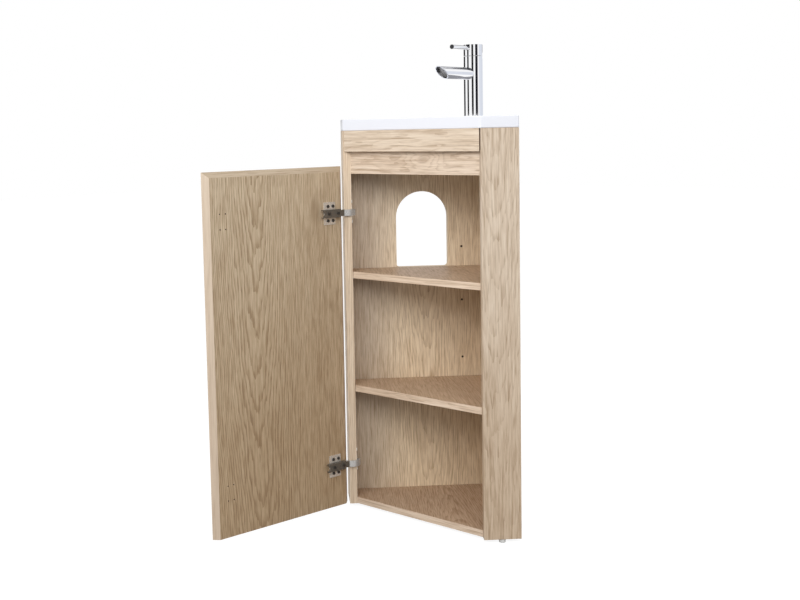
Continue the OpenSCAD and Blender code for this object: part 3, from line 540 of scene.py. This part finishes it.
# Painted shade: the shelves and the floor board take a darker, redder tone for the shade inside the cabinet
shelf_oak_shaded = oak("shelf_oak_shaded", turn=-WALL_TURN, flat=True, centre=(0, -200, 240), depth=0, lean=0.0,
                slant=0.05, ring_scale=90, figure=0.4, tone=(0.71, 0.63, 0.57), pores=0.36, seed=7.0)
floor_oak_shaded = oak("floor_oak_shaded", turn=-WALL_TURN, flat=True, centre=(57, -226, -25), depth=0, lean=0.0,
                slant=0.07, ring_scale=90, figure=1.0, tone=(0.67, 0.585, 0.53), seed=8.0)
edge_oak = oak("edge_oak", flat=True, centre=(20, -283, 300), depth=90, lean=0.02, ring_scale=90,
               figure=0.3, tone=(1.08, 1.06, 1.08), seed=10.0)
beech = oak("beech", flat=True, depth=30, ring_scale=90, figure=0.3, tone=(1.02, 1.02, 1.02), seed=9.0)
# Painted shade: near-black oak for the walls of the pin and pilot holes, where little light reaches
painted_hole_shade = oak("painted_hole_shade", depth=30, ring_scale=90, figure=0.3, tone=(0.10, 0.09, 0.08), seed=13.0)
cast_stone = cast("cast_stone", (0.876, 0.891, 0.950), (0.870, 0.885, 0.945), rough=0.30, spread=0.05,
                  scale=22.0, relief=0.005, coat=0.10, amount=0.0001)
chrome = metal("chrome", (0.945, 0.95, 0.965), rough=0.02, spread=0.03, relief=0.0)
nickel = metal("nickel", (0.93, 0.93, 0.92), rough=0.24, spread=0.12, grain_scale=(700.0, 700.0, 160.0),
               relief=0.05, bare=0.40)
plate_nickel = metal("plate_nickel", (0.78, 0.74, 0.68), rough=0.20, spread=0.12,
                     grain_scale=(700.0, 700.0, 160.0), relief=0.05, bare=0.40)
# Painted shade: the arm's nickel is darkened for the shade of the arm standing proud of the plate; the
# aerator uses it too
arm_nickel = metal("arm_nickel", (0.50, 0.49, 0.475), rough=0.24, spread=0.08,
                   grain_scale=(700.0, 700.0, 700.0), relief=0.02, bare=0.30)
# Painted shade: near-black for the arm's channel over the plate
arm_channel_shade = metal("arm_channel_shade", (0.16, 0.145, 0.125), rough=0.20, spread=0.08,
                    grain_scale=(700.0, 700.0, 700.0), relief=0.02, bare=0.30)
dark_screws = metal("dark_screws", (0.09, 0.085, 0.08), rough=0.25, spread=0.15, relief=0.05, bare=0.5)
# Painted shade: near-black for the upper wall of the spout's hollow
spout_bore = cast("spout_bore", (0.050, 0.050, 0.052), (0.030, 0.030, 0.032), rough=0.30, spread=0.15,
                  scale=60.0, relief=0.05)
plated_steel = metal("plated_steel", (0.60, 0.61, 0.63), rough=0.26, spread=0.16, relief=0.05)
turned_brass = metal("turned_brass", (0.75, 0.60, 0.32), rough=0.24, spread=0.12, relief=0.05)
white_plastic = cast("white_plastic", (0.80, 0.80, 0.78), (0.74, 0.74, 0.72), rough=0.38, spread=0.12,
                     scale=60.0, relief=0.05)
black_rubber = cast("black_rubber", (0.030, 0.030, 0.032), (0.018, 0.018, 0.020), rough=0.45,
                    spread=0.20, scale=90.0, relief=0.12)


# ---------------------------------------------------------------- the carcass

# Shelf pins: the shelf lies on them, with a spare row of holes above and below. In the back
# panels their line stands off the room corner, and in the side panels it is the middle.
PIN_RADIUS = 2.5
PIN_PITCH = 62
PIN_HOLE_DEPTH = 11
PIN_LINE = 68
PIN_LEVELS = [top - SHELF - PIN_RADIUS + step for top in SHELF_TOPS for step in (-PIN_PITCH, 0, PIN_PITCH)]

# Hinge cups, from the front edge of the left side panel into its thickness
CUP_RADIUS = 17.5
CUP_INSET = 21.5
CUP_DEPTH = 13.6

# The arched cut-out for the pipes, which stands on the upper shelf
ARCH_MIDDLE = 159
ARCH_HALF = 59
ARCH_SPRING = 655
ARCH_CORNER = 7

# Half the length of the rail's and the fascia's blank, before their ends are sawn
RAIL_BLANK = 240
FASCIA_BLANK = 200


def in_pin_hole(a=None, b=None):
    """A test for faces in the walls of the pin holes, which stand in line at a place along
    the right wall (a) or the left wall (b)."""
    line = wall_point(a or 0, b or 0)
    along = Vector((-1, -1, 0) if a is None else (1, -1, 0)) / ROOT2

    def test(face):
        across = (face.center - line).dot(along)
        level = min(abs(face.center.z - z * MM) for z in PIN_LEVELS)
        return int(math.hypot(across, level) < (PIN_RADIUS + FIT_PLAY + HOLE_MARGIN) * MM)

    return test


def pin_holes(a, b, toward_a, toward_b):
    """Cutters for the shelf pin holes of one panel, from its face into its thickness."""
    holes = []
    for z in PIN_LEVELS:
        start = wall_point(a + toward_a * CLEAR, b + toward_b * CLEAR, z)
        end = wall_point(a - toward_a * PIN_HOLE_DEPTH, b - toward_b * PIN_HOLE_DEPTH, z)
        holes.append(rod("pin_hole", start, end, PIN_RADIUS + FIT_PLAY, sides=24))
    return [gather(holes, "pin_holes")]


def make_left_side():
    """The panel that carries the hinges, with pockets for their cups."""
    panel = board("left_side", (0, SIDE), (INNER, WALL), (BASE, SLAB_LOW))
    cutters = pin_holes(SIDE / 2, INNER, 0, -1)
    for z in HINGE_LEVELS:
        cutters.append(rod("cup_pocket", wall_point(SIDE - CUP_INSET, INNER - CLEAR, z),
                           wall_point(SIDE - CUP_INSET, INNER + CUP_DEPTH, z), CUP_RADIUS + FIT_PLAY))
    bore(panel, cutters)
    ease(panel, width=0.6)
    dress(panel, left_side_oak, painted_hole_shade, pick=in_pin_hole(a=SIDE / 2))
    fit(panel, "cabinet", "oak_board", "left_side_panel")


def make_right_side():
    panel = board("right_side", (INNER, WALL), (0, SIDE), (BASE, SLAB_LOW))
    bore(panel, pin_holes(INNER, SIDE / 2, -1, 0))
    ease(panel, width=0.6)
    dress(panel, right_side_oak, painted_hole_shade, pick=in_pin_hole(b=SIDE / 2))
    fit(panel, "cabinet", "oak_board", "right_side_panel")


def make_left_back():
    """The panel with the arched cut-out: two legs with round corners below a round crown."""
    panel = board("left_back", (0, BOARD), (0, INNER), (BASE, SLAB_LOW))
    foot = SHELF_TOPS[1]
    through = (-2 * CLEAR, BOARD + 2 * CLEAR)
    arch = rod("arch_crown", wall_point(through[0], ARCH_MIDDLE, ARCH_SPRING),
               wall_point(through[1], ARCH_MIDDLE, ARCH_SPRING), ARCH_HALF, sides=96)
    legs = board("arch_legs", through, (ARCH_MIDDLE - ARCH_HALF, ARCH_MIDDLE + ARCH_HALF),
                 (foot, ARCH_SPRING))
    pick_level_edges(legs, foot, longest=ARCH_HALF)
    bevel_picked(ARCH_CORNER, steps=6)
    bore(panel, [legs, arch] + pin_holes(BOARD, PIN_LINE, 1, 0))
    ease(panel, width=0.5)
    dress(panel, left_back_oak, painted_hole_shade, pick=in_pin_hole(b=PIN_LINE))
    fit(panel, "cabinet", "oak_board", "left_back_panel")


def make_right_back():
    panel = board("right_back", (BOARD, INNER), (0, BOARD), (BASE, SLAB_LOW))
    bore(panel, pin_holes(PIN_LINE, BOARD, 0, 1))
    ease(panel, width=0.5)
    dress(panel, right_back_oak, painted_hole_shade, pick=in_pin_hole(a=PIN_LINE))
    fit(panel, "cabinet", "oak_board", "right_back_panel")


def make_shelf(name, node_name, top, gap, finish):
    """A five-sided shelf: a square board with its front corner sawn off."""
    shelf = board(name, (BOARD + gap, INNER - gap), (BOARD + gap, INNER - gap), (top - SHELF, top))
    line = FRONT - SETBACK * ROOT2
    saw(shelf, wall_point(line / 2, line / 2), (0, -1, 0))
    ease(shelf, width=0.6)
    # The top and underside take the darker finish with painted shade; the front edge takes the edge finish
    dress(shelf, finish, edge_oak, pick=lambda face: int(face.normal.y < -0.5))
    fit(shelf, "cabinet", "oak_board", node_name)


def make_rail():
    """The cross rail, with its ends sawn to lie against the side panels."""
    front = -round(FRONT_LINE, 2)
    rail = block("rail", (-RAIL_BLANK, front, RAIL_LOW), (RAIL_BLANK, front + SHELF, SLAB_LOW))
    saw(rail, wall_point(INNER, 0), wall_point(1, 0))
    saw(rail, wall_point(0, INNER), wall_point(0, 1))
    ease(rail, width=0.6)
    dress(rail, rail_oak)
    fit(rail, "cabinet", "oak_board", "cross_rail")


def make_fascia():
    """The front strip, mitred at both ends to stand off the side panels' edges."""
    end = SIDE + MITRE_GAP
    strip = block("fascia", (-FASCIA_BLANK, -(FRONT + BOARD) / ROOT2, FASCIA_LOW),
                  (FASCIA_BLANK, -FRONT_LINE, SLAB_LOW))
    saw(strip, wall_point(end, 0), wall_point(-1, 0))
    saw(strip, wall_point(0, end), wall_point(0, -1))
    ease(strip, width=0.7)
    dress(strip, fascia_oak)
    fit(strip, "cabinet", "oak_board", "fascia_board")


make_left_side()
make_right_side()
make_left_back()
make_right_back()
make_shelf("floor_board", "floor_panel", BASE + SHELF, 0, floor_oak_shaded)
make_shelf("lower_shelf_board", "lower_shelf", SHELF_TOPS[0], SHELF_PLAY, shelf_oak_shaded)
make_shelf("upper_shelf_board", "upper_shelf", SHELF_TOPS[1], SHELF_PLAY, shelf_oak_shaded)
make_rail()
make_fascia()


# ---------------------------------------------------------------- the door

# The hinge pins' axis, from the post's front edge and into its thickness
AXIS_INSET = 11.5
AXIS_DEPTH = 9.4
HINGE_AXIS = wall_point(SIDE - AXIS_INSET, INNER + AXIS_DEPTH)

# The closed door: its back, and the left end of its front
DOOR_GAP = 0.4
DOOR_BACK = -FRONT_LINE - DOOR_GAP
DOOR_EDGE = (SIDE + MITRE_GAP) * ROOT2 + DOOR_BACK - DOOR_THICK

# Faces of the door whose normal points up by more than this are its bevelled top band
BAND_TILT = 0.3

# Spare pilot holes for hinges on the other side: how far they stand in from the door's edge
# and above or below the hinges
PILOT_RADIUS = 1.25
PILOT_DEPTH = 8
PILOT_INSETS = (35, 49)
PILOT_STEPS = (-16, 16)


def swing_open(piece):
    """Turns a part of the closed door to the open position, about the hinge pins."""
    piece.matrix_world = (Matrix.Translation(HINGE_AXIS) @ Matrix.Rotation(OPEN_ANGLE, 4, "Z")
                          @ Matrix.Translation(-HINGE_AXIS)) @ piece.matrix_world
    settle(piece)


def make_door():
    """The door with its mitred sides, bevelled top and spare pilot holes, made closed and then
    swung open."""
    left, back, front = DOOR_EDGE, DOOR_BACK, DOOR_BACK - DOOR_THICK
    door = block("door", (left, front, BASE), (-left, back, DOOR_TOP))
    saw(door, Vector((left, front, 0)) * MM, (-1, 1, 0))
    saw(door, Vector((-left, front, 0)) * MM, (1, 1, 0))
    saw(door, Vector((0, front, DOOR_TOP)) * MM, (0, 1, 1))
    places = [(-left - inset, level + step)
              for level in HINGE_LEVELS for inset in PILOT_INSETS for step in PILOT_STEPS]
    pilots = [rod("pilot", at(x, back + CLEAR, z), at(x, back - PILOT_DEPTH, z), PILOT_RADIUS, sides=20)
              for x, z in places]
    bore(door, [gather(pilots, "pilots")])
    ease(door, width=0.5)
    mitres = [Vector((x, 1, 0)).normalized() for x in (-1, 1)]

    def pick(face):
        middle = face.center / MM
        # Faces in the pilot holes take the painted hole shade
        if min(math.hypot(middle.x - x, middle.z - z) for x, z in places) < PILOT_RADIUS + HOLE_MARGIN:
            return finishes.index(painted_hole_shade)
        if face.normal.z > BAND_TILT:
            return finishes.index(door_band_oak)
        if max(face.normal.dot(mitre) for mitre in mitres) > NEARLY:
            return finishes.index(door_edge_oak)
        return 0

    finishes = [door_oak, door_band_oak, door_edge_oak, painted_hole_shade]
    dress(door, *finishes, pick=pick)
    swing_open(door)
    fit(door, "door", "oak_board", "door_panel")


make_door()


# ---------------------------------------------------------------- the basin

# The bowl's rim and bottom are each drawn round three circles
BOWL_RIM = ((-90, -205), (90, -205), (0, -160))
BOWL_BOTTOM = ((-52, -198), (52, -198), (0, -172))
RIM_RADIUS = 52
BOTTOM_RADIUS = 40
BOTTOM_CORNER = 14
BOWL_WALL = 8
BOWL_LOW = 790

# How far the bowl's body reaches up into the slab, and its room past the slab's top
BODY_OVERLAP = 2
ROOM_PAST = 4

# The waste hole and the tap's hole: their place out from the room corner, their radius and
# the levels between which they are cut
WASTE_OUT = 188
WASTE_RADIUS = 23
WASTE_CUT = (BOWL_LOW - 15, BOWL_LOW + 10)
TAP_OUT = 57
TAP_HOLE_RADIUS = 17.5
TAP_CUT = (SLAB_LOW - 5, SLAB_TOP + 5)


def disc(centre, radius, height):
    """A ring of points round a centre, at a height."""
    clear_bench()
    bpy.ops.mesh.primitive_circle_add(
        vertices=64, radius=radius * MM, fill_type="NOTHING", location=at(*centre, height))
    return bpy.context.object


def bowl_body(name, grow, low, high):
    """The closed three-cornered form of the bowl, stretched over rings of its rim and bottom."""
    rings = []
    for rim, bottom in zip(BOWL_RIM, BOWL_BOTTOM):
        rings.append(disc(rim, RIM_RADIUS + grow, high))
        rings.append(disc(bottom, BOTTOM_RADIUS + grow, low))
    form = gather(rings, name)
    settle(form)
    open_edit(form)
    bpy.ops.mesh.convex_hull()
    bpy.ops.mesh.dissolve_limited(angle_limit=math.radians(0.5))
    close_edit()
    pick_level_edges(form, low)
    bevel_picked(BOTTOM_CORNER, steps=5)
    return form


def make_basin():
    """A slab with its front corner sawn off and a bowl below it."""
    slab = board("basin_slab", (0, WALL), (0, WALL), (SLAB_LOW, SLAB_TOP))
    line = SIDE + WALL
    saw(slab, wall_point(line / 2, line / 2), (0, -1, 0))
    under = bowl_body("bowl_under", BOWL_WALL, BOWL_LOW - BOWL_WALL, SLAB_LOW + BODY_OVERLAP)
    room = bowl_body("bowl_room", 0, BOWL_LOW, SLAB_TOP)
    bore(slab, [under], "UNION")
    pick_faces(room, lambda face: face.normal.z > FLAT_ON)
    push_picked(0, 0, ROOM_PAST)
    waste = rod("waste_cut", at(0, -WASTE_OUT, WASTE_CUT[0]), at(0, -WASTE_OUT, WASTE_CUT[1]), WASTE_RADIUS)
    tap_hole = rod("tap_cut", at(0, -TAP_OUT, TAP_CUT[0]), at(0, -TAP_OUT, TAP_CUT[1]), TAP_HOLE_RADIUS)
    bore(slab, [room, waste, tap_hole])
    tidy_mesh(slab)
    ease(slab, width=2.2, steps=4, angle=28)
    dress(slab, cast_stone)
    fit(slab, "cabinet", "mineral_basin", "basin")


make_basin()


# ---------------------------------------------------------------- the tap

# Sizes of the tap, with its levels above the slab and its reaches out from its axis. The
# spout's blank and the slot for the lever run past the piece that they are cut from.
COLUMN_RADIUS = 21.25
COLUMN_TOP = 136
CAP_LOW = 136.5
CAP_TOP = 161.5
SPOUT_RADIUS = 13.5
SPOUT_LEVEL = 97
SPOUT_START = 18
SPOUT_BLANK = 140
SPOUT_REACH = 133
SPOUT_SLANT = 31
SPOUT_RIM = 0.6
SPOUT_WALL = 1.7
SPOUT_HOLLOW = 16
SPOUT_MARGIN = 0.4
HUB_RADIUS = 11.2
HUB_HALF = 5
HUB_LEVEL = 150
TONGUE_LOW = 149.4
TONGUE_START = 4.6
TONGUE_END = 20.7
LEVER_PLAY = 0.3
SLOT_OUT = 25
SLOT_TOP = 170
BAR_RADIUS = 4.6
BAR_LEVEL = 154
BAR_END = 78.5
TIP_RADIUS = 4.9
TIP_END = 81
STEM_RADIUS = 2.2
STEM_SPAN = (71, 80)

TAP = Vector((0, -TAP_OUT * MM, SLAB_TOP * MM))


def on_tap(x, y, z):
    """A place in millimetres from the foot of the tap."""
    return TAP + Vector((x, y, z)) * MM


def make_tap_body():
    body = rod("tap_column", on_tap(0, 0, 0), on_tap(0, 0, COLUMN_TOP), COLUMN_RADIUS, sides=128)
    ease(body, width=0.7, steps=3)
    dress(body, chrome)
    fit(body, "cabinet", "chrome_tap", "tap_body")


def make_spout():
    """A tube whose end is cut at a slant and hollowed out, with painted shade on the upper wall of its
    hollow.
    """
    spout = rod("spout", on_tap(0, -SPOUT_START, SPOUT_LEVEL), on_tap(0, -SPOUT_BLANK, SPOUT_LEVEL),
                SPOUT_RADIUS, sides=96)
    slope = Vector((0, -2 * SPOUT_RADIUS, -SPOUT_SLANT)).normalized()
    saw(spout, on_tap(0, -SPOUT_REACH, SPOUT_LEVEL + SPOUT_RADIUS), slope)
    pick_faces(spout, lambda face: face.normal.dot(slope) > FLAT_ON)
    bpy.ops.mesh.inset(thickness=SPOUT_RIM * MM)
    bpy.ops.mesh.inset(thickness=SPOUT_WALL * MM)
    push_picked(0, SPOUT_HOLLOW, 0)
    ease(spout, width=0.5, steps=3, angle=40)
    middle = on_tap(0, 0, SPOUT_LEVEL)
    hollow_radius = SPOUT_RADIUS - SPOUT_RIM - SPOUT_WALL

    def pick(face):
        out = Vector((face.center.x, 0, face.center.z - middle.z))
        near = out.length < (hollow_radius + SPOUT_MARGIN) * MM
        inward = face.normal.dot(out.normalized()) < -0.5
        return int(near and inward and out.z > 0)

    dress(spout, chrome, spout_bore, pick=pick)
    fit(spout, "cabinet", "chrome_tap", "tap_spout")


def make_cap():
    """The turning cap, with a slot and a round seat for the lever's hub."""
    half = HUB_HALF + LEVER_PLAY
    cap = rod("tap_crown", on_tap(0, 0, CAP_LOW), on_tap(0, 0, CAP_TOP), COLUMN_RADIUS, sides=128)
    slot = block("slot", (-half, -TAP_OUT - SLOT_OUT, SLAB_TOP + TONGUE_LOW - LEVER_PLAY),
                 (half, -TAP_OUT, SLAB_TOP + SLOT_TOP))
    seat = rod("seat", on_tap(-half, 0, HUB_LEVEL), on_tap(half, 0, HUB_LEVEL), HUB_RADIUS + LEVER_PLAY)
    bore(cap, [slot, seat])
    ease(cap, width=0.8, steps=3)
    dress(cap, chrome)
    fit(cap, "tap_handle", "chrome_tap", "tap_cap")


def make_lever():
    """The hub in the cap, the tongue in its slot and the bar."""
    hub = rod("lever_hub", on_tap(-HUB_HALF, 0, HUB_LEVEL), on_tap(HUB_HALF, 0, HUB_LEVEL), HUB_RADIUS)
    tongue = block("tongue", (-HUB_HALF, -TAP_OUT - TONGUE_END, SLAB_TOP + TONGUE_LOW),
                   (HUB_HALF, -TAP_OUT - TONGUE_START, SLAB_TOP + CAP_TOP))
    bar = rod("lever_bar", on_tap(0, 0, BAR_LEVEL), on_tap(0, -BAR_END, BAR_LEVEL), BAR_RADIUS, sides=48)
    lever = bore(hub, [tongue, bar], "UNION")
    ease(lever, width=0.3)
    lever.name = "lever"
    dress(lever, chrome)
    fit(lever, "lever", "chrome_tap", "tap_lever")


def make_lever_tip():
    """The dark end of the lever's bar, on a stem inside the bar."""
    tip = rod("lever_end", on_tap(0, -BAR_END, BAR_LEVEL), on_tap(0, -TIP_END, BAR_LEVEL),
              TIP_RADIUS, sides=48)
    stem = rod("tip_stem", on_tap(0, -STEM_SPAN[0], BAR_LEVEL), on_tap(0, -STEM_SPAN[1], BAR_LEVEL),
               STEM_RADIUS, sides=32)
    bore(tip, [stem], "UNION")
    ease(tip, width=0.4, steps=3)
    dress(tip, black_rubber)
    fit(tip, "lever", "black_rubber", "lever_tip")


make_tap_body()
make_spout()
make_cap()
make_lever()
make_lever_tip()


# ---------------------------------------------------------------- the hinges

# The arm's crank ends here on the open door, and its channel over the plate begins, which is given painted
# shade
CRANK_END = -308

for place in ("upper", "lower"):
    arm = eased_copy(place + "_arm", cad[place + "_hinge_arm"], width=0.45, steps=3)
    dress(arm, arm_nickel, arm_channel_shade, pick=lambda face: int(face.center.y < CRANK_END * MM))
    fit(arm, "door", "nickel_fitting", place + "_hinge_arm")
    plate = eased_copy(place + "_plate", cad[place + "_mounting_plate"], width=0.4)
    fit(dress(plate, plate_nickel), "door", "nickel_fitting", place + "_mounting_plate")
    cup = eased_copy(place + "_cup", cad[place + "_hinge_cup"], width=0.25)
    fit(dress(cup, nickel), "cabinet", "nickel_fitting", place + "_hinge_cup")


# ---------------------------------------------------------------- small CAD parts

for finish, names in (
        (beech, ("wood_dowels",)),
        (black_rubber, ("tap_gasket", "stud_rubber_washer")),
        (nickel, ("hinge_cup_screws", "lower_shelf_pins", "upper_shelf_pins")),
        (dark_screws, ("mounting_plate_screws", "arm_fixing_screws", "arm_adjusting_screws")),
        (arm_nickel, ("aerator",)),
        (plated_steel, ("fascia_screws", "block_screws", "cam_bolts", "cam_housings", "glide_nails",
                        "upper_hinge_pin", "lower_hinge_pin", "lever_pin", "tap_stud",
                        "stud_horseshoe_washer")),
        (white_plastic, ("rail_blocks", "glide_feet", "tap_cartridge")),
        (turned_brass, ("cartridge_nut", "cartridge_stem", "stud_nut"))):
    for name in names:
        for slot in cad[name].material_slots:
            slot.material = finish


# ---------------------------------------------------------------- the studio

# Sizes and places in the studio are in metres, and the lens is in millimetres. The camera was
# fitted to the straight edges of the cabinet.
CAMERA_PLACE = Vector((1.475363, -2.139267, 0.855166))
CAMERA_ANGLES = [math.radians(angle) for angle in (84.585854, 1.151952, 41.405858)]
CAMERA_TURN = Euler(CAMERA_ANGLES, "XYZ").to_matrix()
CAMERA_LENS = 50.271783
CAMERA_SHIFT = (0.057294, -0.079375)

FLOOR_SIZE = 24
FLOOR_DROP = 0.0002
FLOOR_TONE = 0.22
FLOOR_GLOW = 0.91
SKY_LIGHT = 0.54

# Flags stand round the tap for its chrome to mirror: where each begins and ends, in degrees
# from the camera round to the right, its lower and upper edge, and its tone
FLAG_REACH = 3.4
FLAGS = [
    ("thin_flag", -176, -119, 0.918, 2.2, (0.03, 0.03, 0.03)),
    ("narrow_flag", -84, -62, 0.918, 2.2, (0.02, 0.02, 0.02)),
    ("middle_flag", -27, -4, 0.918, 2.2, (0.02, 0.02, 0.02)),
    ("broad_flag", 19, 44, 0.918, 2.2, (0.01, 0.01, 0.015)),
    ("soft_flag", 44, 51, 0.918, 2.2, (0.22, 0.21, 0.22)),
    ("cool_card_1", 68, 102, 0.0, 2.6, (0.76, 0.79, 0.86)),
    ("cool_card_2", 102, 136, 0.0, 1.9, (0.72, 0.75, 0.82)),
    ("cool_card_3", 136, 172, 0.0, 1.22, (0.82, 0.84, 0.89)),
    ("high_flag", 124, 174, 1.25, 3.7, (0.45, 0.45, 0.47)),
    ("left_canopy", -136, -64, 2.35, 4.0, (0.03, 0.03, 0.04)),
    ("front_canopy", -66, 8, 2.35, 4.0, (0.03, 0.03, 0.04)),
    ("right_canopy", 6, 92, 2.35, 4.0, (0.03, 0.03, 0.04)),
]

# Grey cards that lie just above the slab as painted shade on it, for the spout's underside to mirror: their
# spans in X and Y
SLAB_SHADE_CARDS = [
    ("slab_shade_card_right", (-0.055, 0.30), (-0.25, 0.02)),
    ("slab_shade_card_left", (-0.30, -0.055), (-0.10, 0.10)),
]
LOW_CARD_LIFT = 0.002
SLAB_SHADE_TONE = (0.30, 0.30, 0.32)

# Lamps: place, aim, width, height and power
LAMPS = [
    ("key_lamp", (-0.35, -2.7, 2.35), (0, -0.3, 0.75), 2.6, 1.6, 44),
    ("fill_lamp", (1.9, -2.2, 1.9), (0, -0.3, 0.75), 2.0, 1.4, 38),
]


def seen_directly(tree):
    """One for what the camera sees, itself or in metal or glass, and nothing for the light."""
    path = put(tree, "ShaderNodeLightPath").outputs
    seen = figures(tree, path["Is Camera Ray"], "MAXIMUM", path["Is Glossy Ray"])
    return figures(tree, seen, "MAXIMUM", path["Is Transmission Ray"])


def studio_paint(name):
    """A new material without its shader, and its node tree."""
    paint, tree, skin = blank_finish(name)
    tree.nodes.remove(skin)
    return paint, tree


def make_floor():
    """A pale floor that adds its own light only for the eye and for reflections."""
    clear_bench()
    bpy.ops.mesh.primitive_plane_add(size=FLOOR_SIZE, location=(0, 0, -FLOOR_DROP))
    floor = bpy.context.object
    floor.name = "studio_floor"
    paint, tree = studio_paint("studio_floor_paint")
    matt = put(tree, "ShaderNodeBsdfDiffuse", {"Color": (FLOOR_TONE, FLOOR_TONE, FLOOR_TONE, 1)})
    power = figures(tree, seen_directly(tree), "MULTIPLY", FLOOR_GLOW)
    light = put(tree, "ShaderNodeEmission", {"Color": (1, 1, 1, 1), "Strength": power})
    both = put(tree, "ShaderNodeAddShader", {0: matt.outputs[0], 1: light.outputs[0]})
    tree.links.new(both.outputs[0], tree.nodes["Material Output"].inputs["Surface"])
    dress(floor, paint)


def make_sky():
    """A white room that gives less light than it shows."""
    world = bpy.data.worlds.new("studio_light")
    bpy.context.scene.world = world
    world.use_nodes = True
    tree = world.node_tree
    tree.nodes.clear()
    soft = put(tree, "ShaderNodeBackground", {"Color": (1, 1, 1, 1), "Strength": SKY_LIGHT})
    white = put(tree, "ShaderNodeBackground", {"Color": (1, 1, 1, 1), "Strength": 1.0})
    both = put(tree, "ShaderNodeMixShader", {0: seen_directly(tree), 1: soft.outputs[0],
                                             2: white.outputs[0]})
    put(tree, "ShaderNodeOutputWorld", {"Surface": both.outputs[0]})


def make_lamp(name, place, aim, width, height, power):
    """A soft box that mirrors don't see."""
    clear_bench()
    bpy.ops.object.light_add(type="AREA", location=place)
    lamp = bpy.context.object
    lamp.name = name
    lamp.data.shape = "RECTANGLE"
    lamp.data.size = width
    lamp.data.size_y = height
    lamp.data.energy = power
    lamp.rotation_mode = "QUATERNION"
    lamp.rotation_quaternion = (Vector(aim) - Vector(place)).to_track_quat("-Z", "Y")
    lamp.visible_glossy = False


def make_camera():
    """The camera that sees the unit as the photograph does."""
    eye = bpy.data.cameras.new("photo_camera")
    camera = bpy.data.objects.new("photo_camera", eye)
    bpy.context.scene.collection.objects.link(camera)
    camera.matrix_world = Matrix.Translation(CAMERA_PLACE) @ CAMERA_TURN.to_4x4()
    eye.sensor_width = 36
    eye.lens = CAMERA_LENS
    eye.shift_x, eye.shift_y = CAMERA_SHIFT
    eye.clip_start = 0.01
    eye.clip_end = 60
    bpy.context.scene.camera = camera


def make_card(name, width, height):
    """A flat card at the origin."""
    clear_bench()
    bpy.ops.mesh.primitive_plane_add(size=1)
    card = bpy.context.object
    card.name = name
    card.scale = (width, height, 1)
    settle(card)
    return card


def show_to_mirrors(card, tone):
    """Puts a card in its place, paints it and hides it from all but mirrors."""
    settle(card)
    paint, tree = studio_paint(card.name + "_paint")
    light = put(tree, "ShaderNodeEmission", {"Color": (*tone, 1), "Strength": 1.0})
    tree.links.new(light.outputs[0], tree.nodes["Material Output"].inputs["Surface"])
    dress(card, paint)
    card.visible_camera = False
    card.visible_diffuse = False
    card.visible_transmission = False
    card.visible_volume_scatter = False
    card.visible_shadow = False


def make_flag(name, start, end, low, high, tone):
    """A card that stands round the tap and faces it."""
    right = Vector((*CAMERA_TURN.col[0].xy, 0)).normalized()
    toward = Vector((*CAMERA_TURN.col[2].xy, 0)).normalized()
    middle = math.radians((start + end) / 2)
    half = math.radians((end - start) / 2)
    way = toward * math.cos(middle) + right * math.sin(middle)
    card = make_card(name, 2 * FLAG_REACH * math.tan(half), high - low)
    card.rotation_mode = "QUATERNION"
    card.rotation_quaternion = (-way).to_track_quat("Z", "Y")
    card.location = TAP + way * FLAG_REACH + Vector((0, 0, (low + high) / 2 - TAP.z))
    show_to_mirrors(card, tone)


def make_slab_shade_card(name, x, y):
    """A card of painted shade that lies just above the slab."""
    card = make_card(name, x[1] - x[0], y[1] - y[0])
    card.location = ((x[0] + x[1]) / 2, (y[0] + y[1]) / 2, SLAB_TOP * MM + LOW_CARD_LIFT)
    show_to_mirrors(card, SLAB_SHADE_TONE)


make_floor()
make_sky()
for flag in FLAGS:
    make_flag(*flag)
for low_card in SLAB_SHADE_CARDS:
    make_slab_shade_card(*low_card)
for lamp in LAMPS:
    make_lamp(*lamp)
make_camera()

bpy.context.scene.view_settings.view_transform = "Standard"
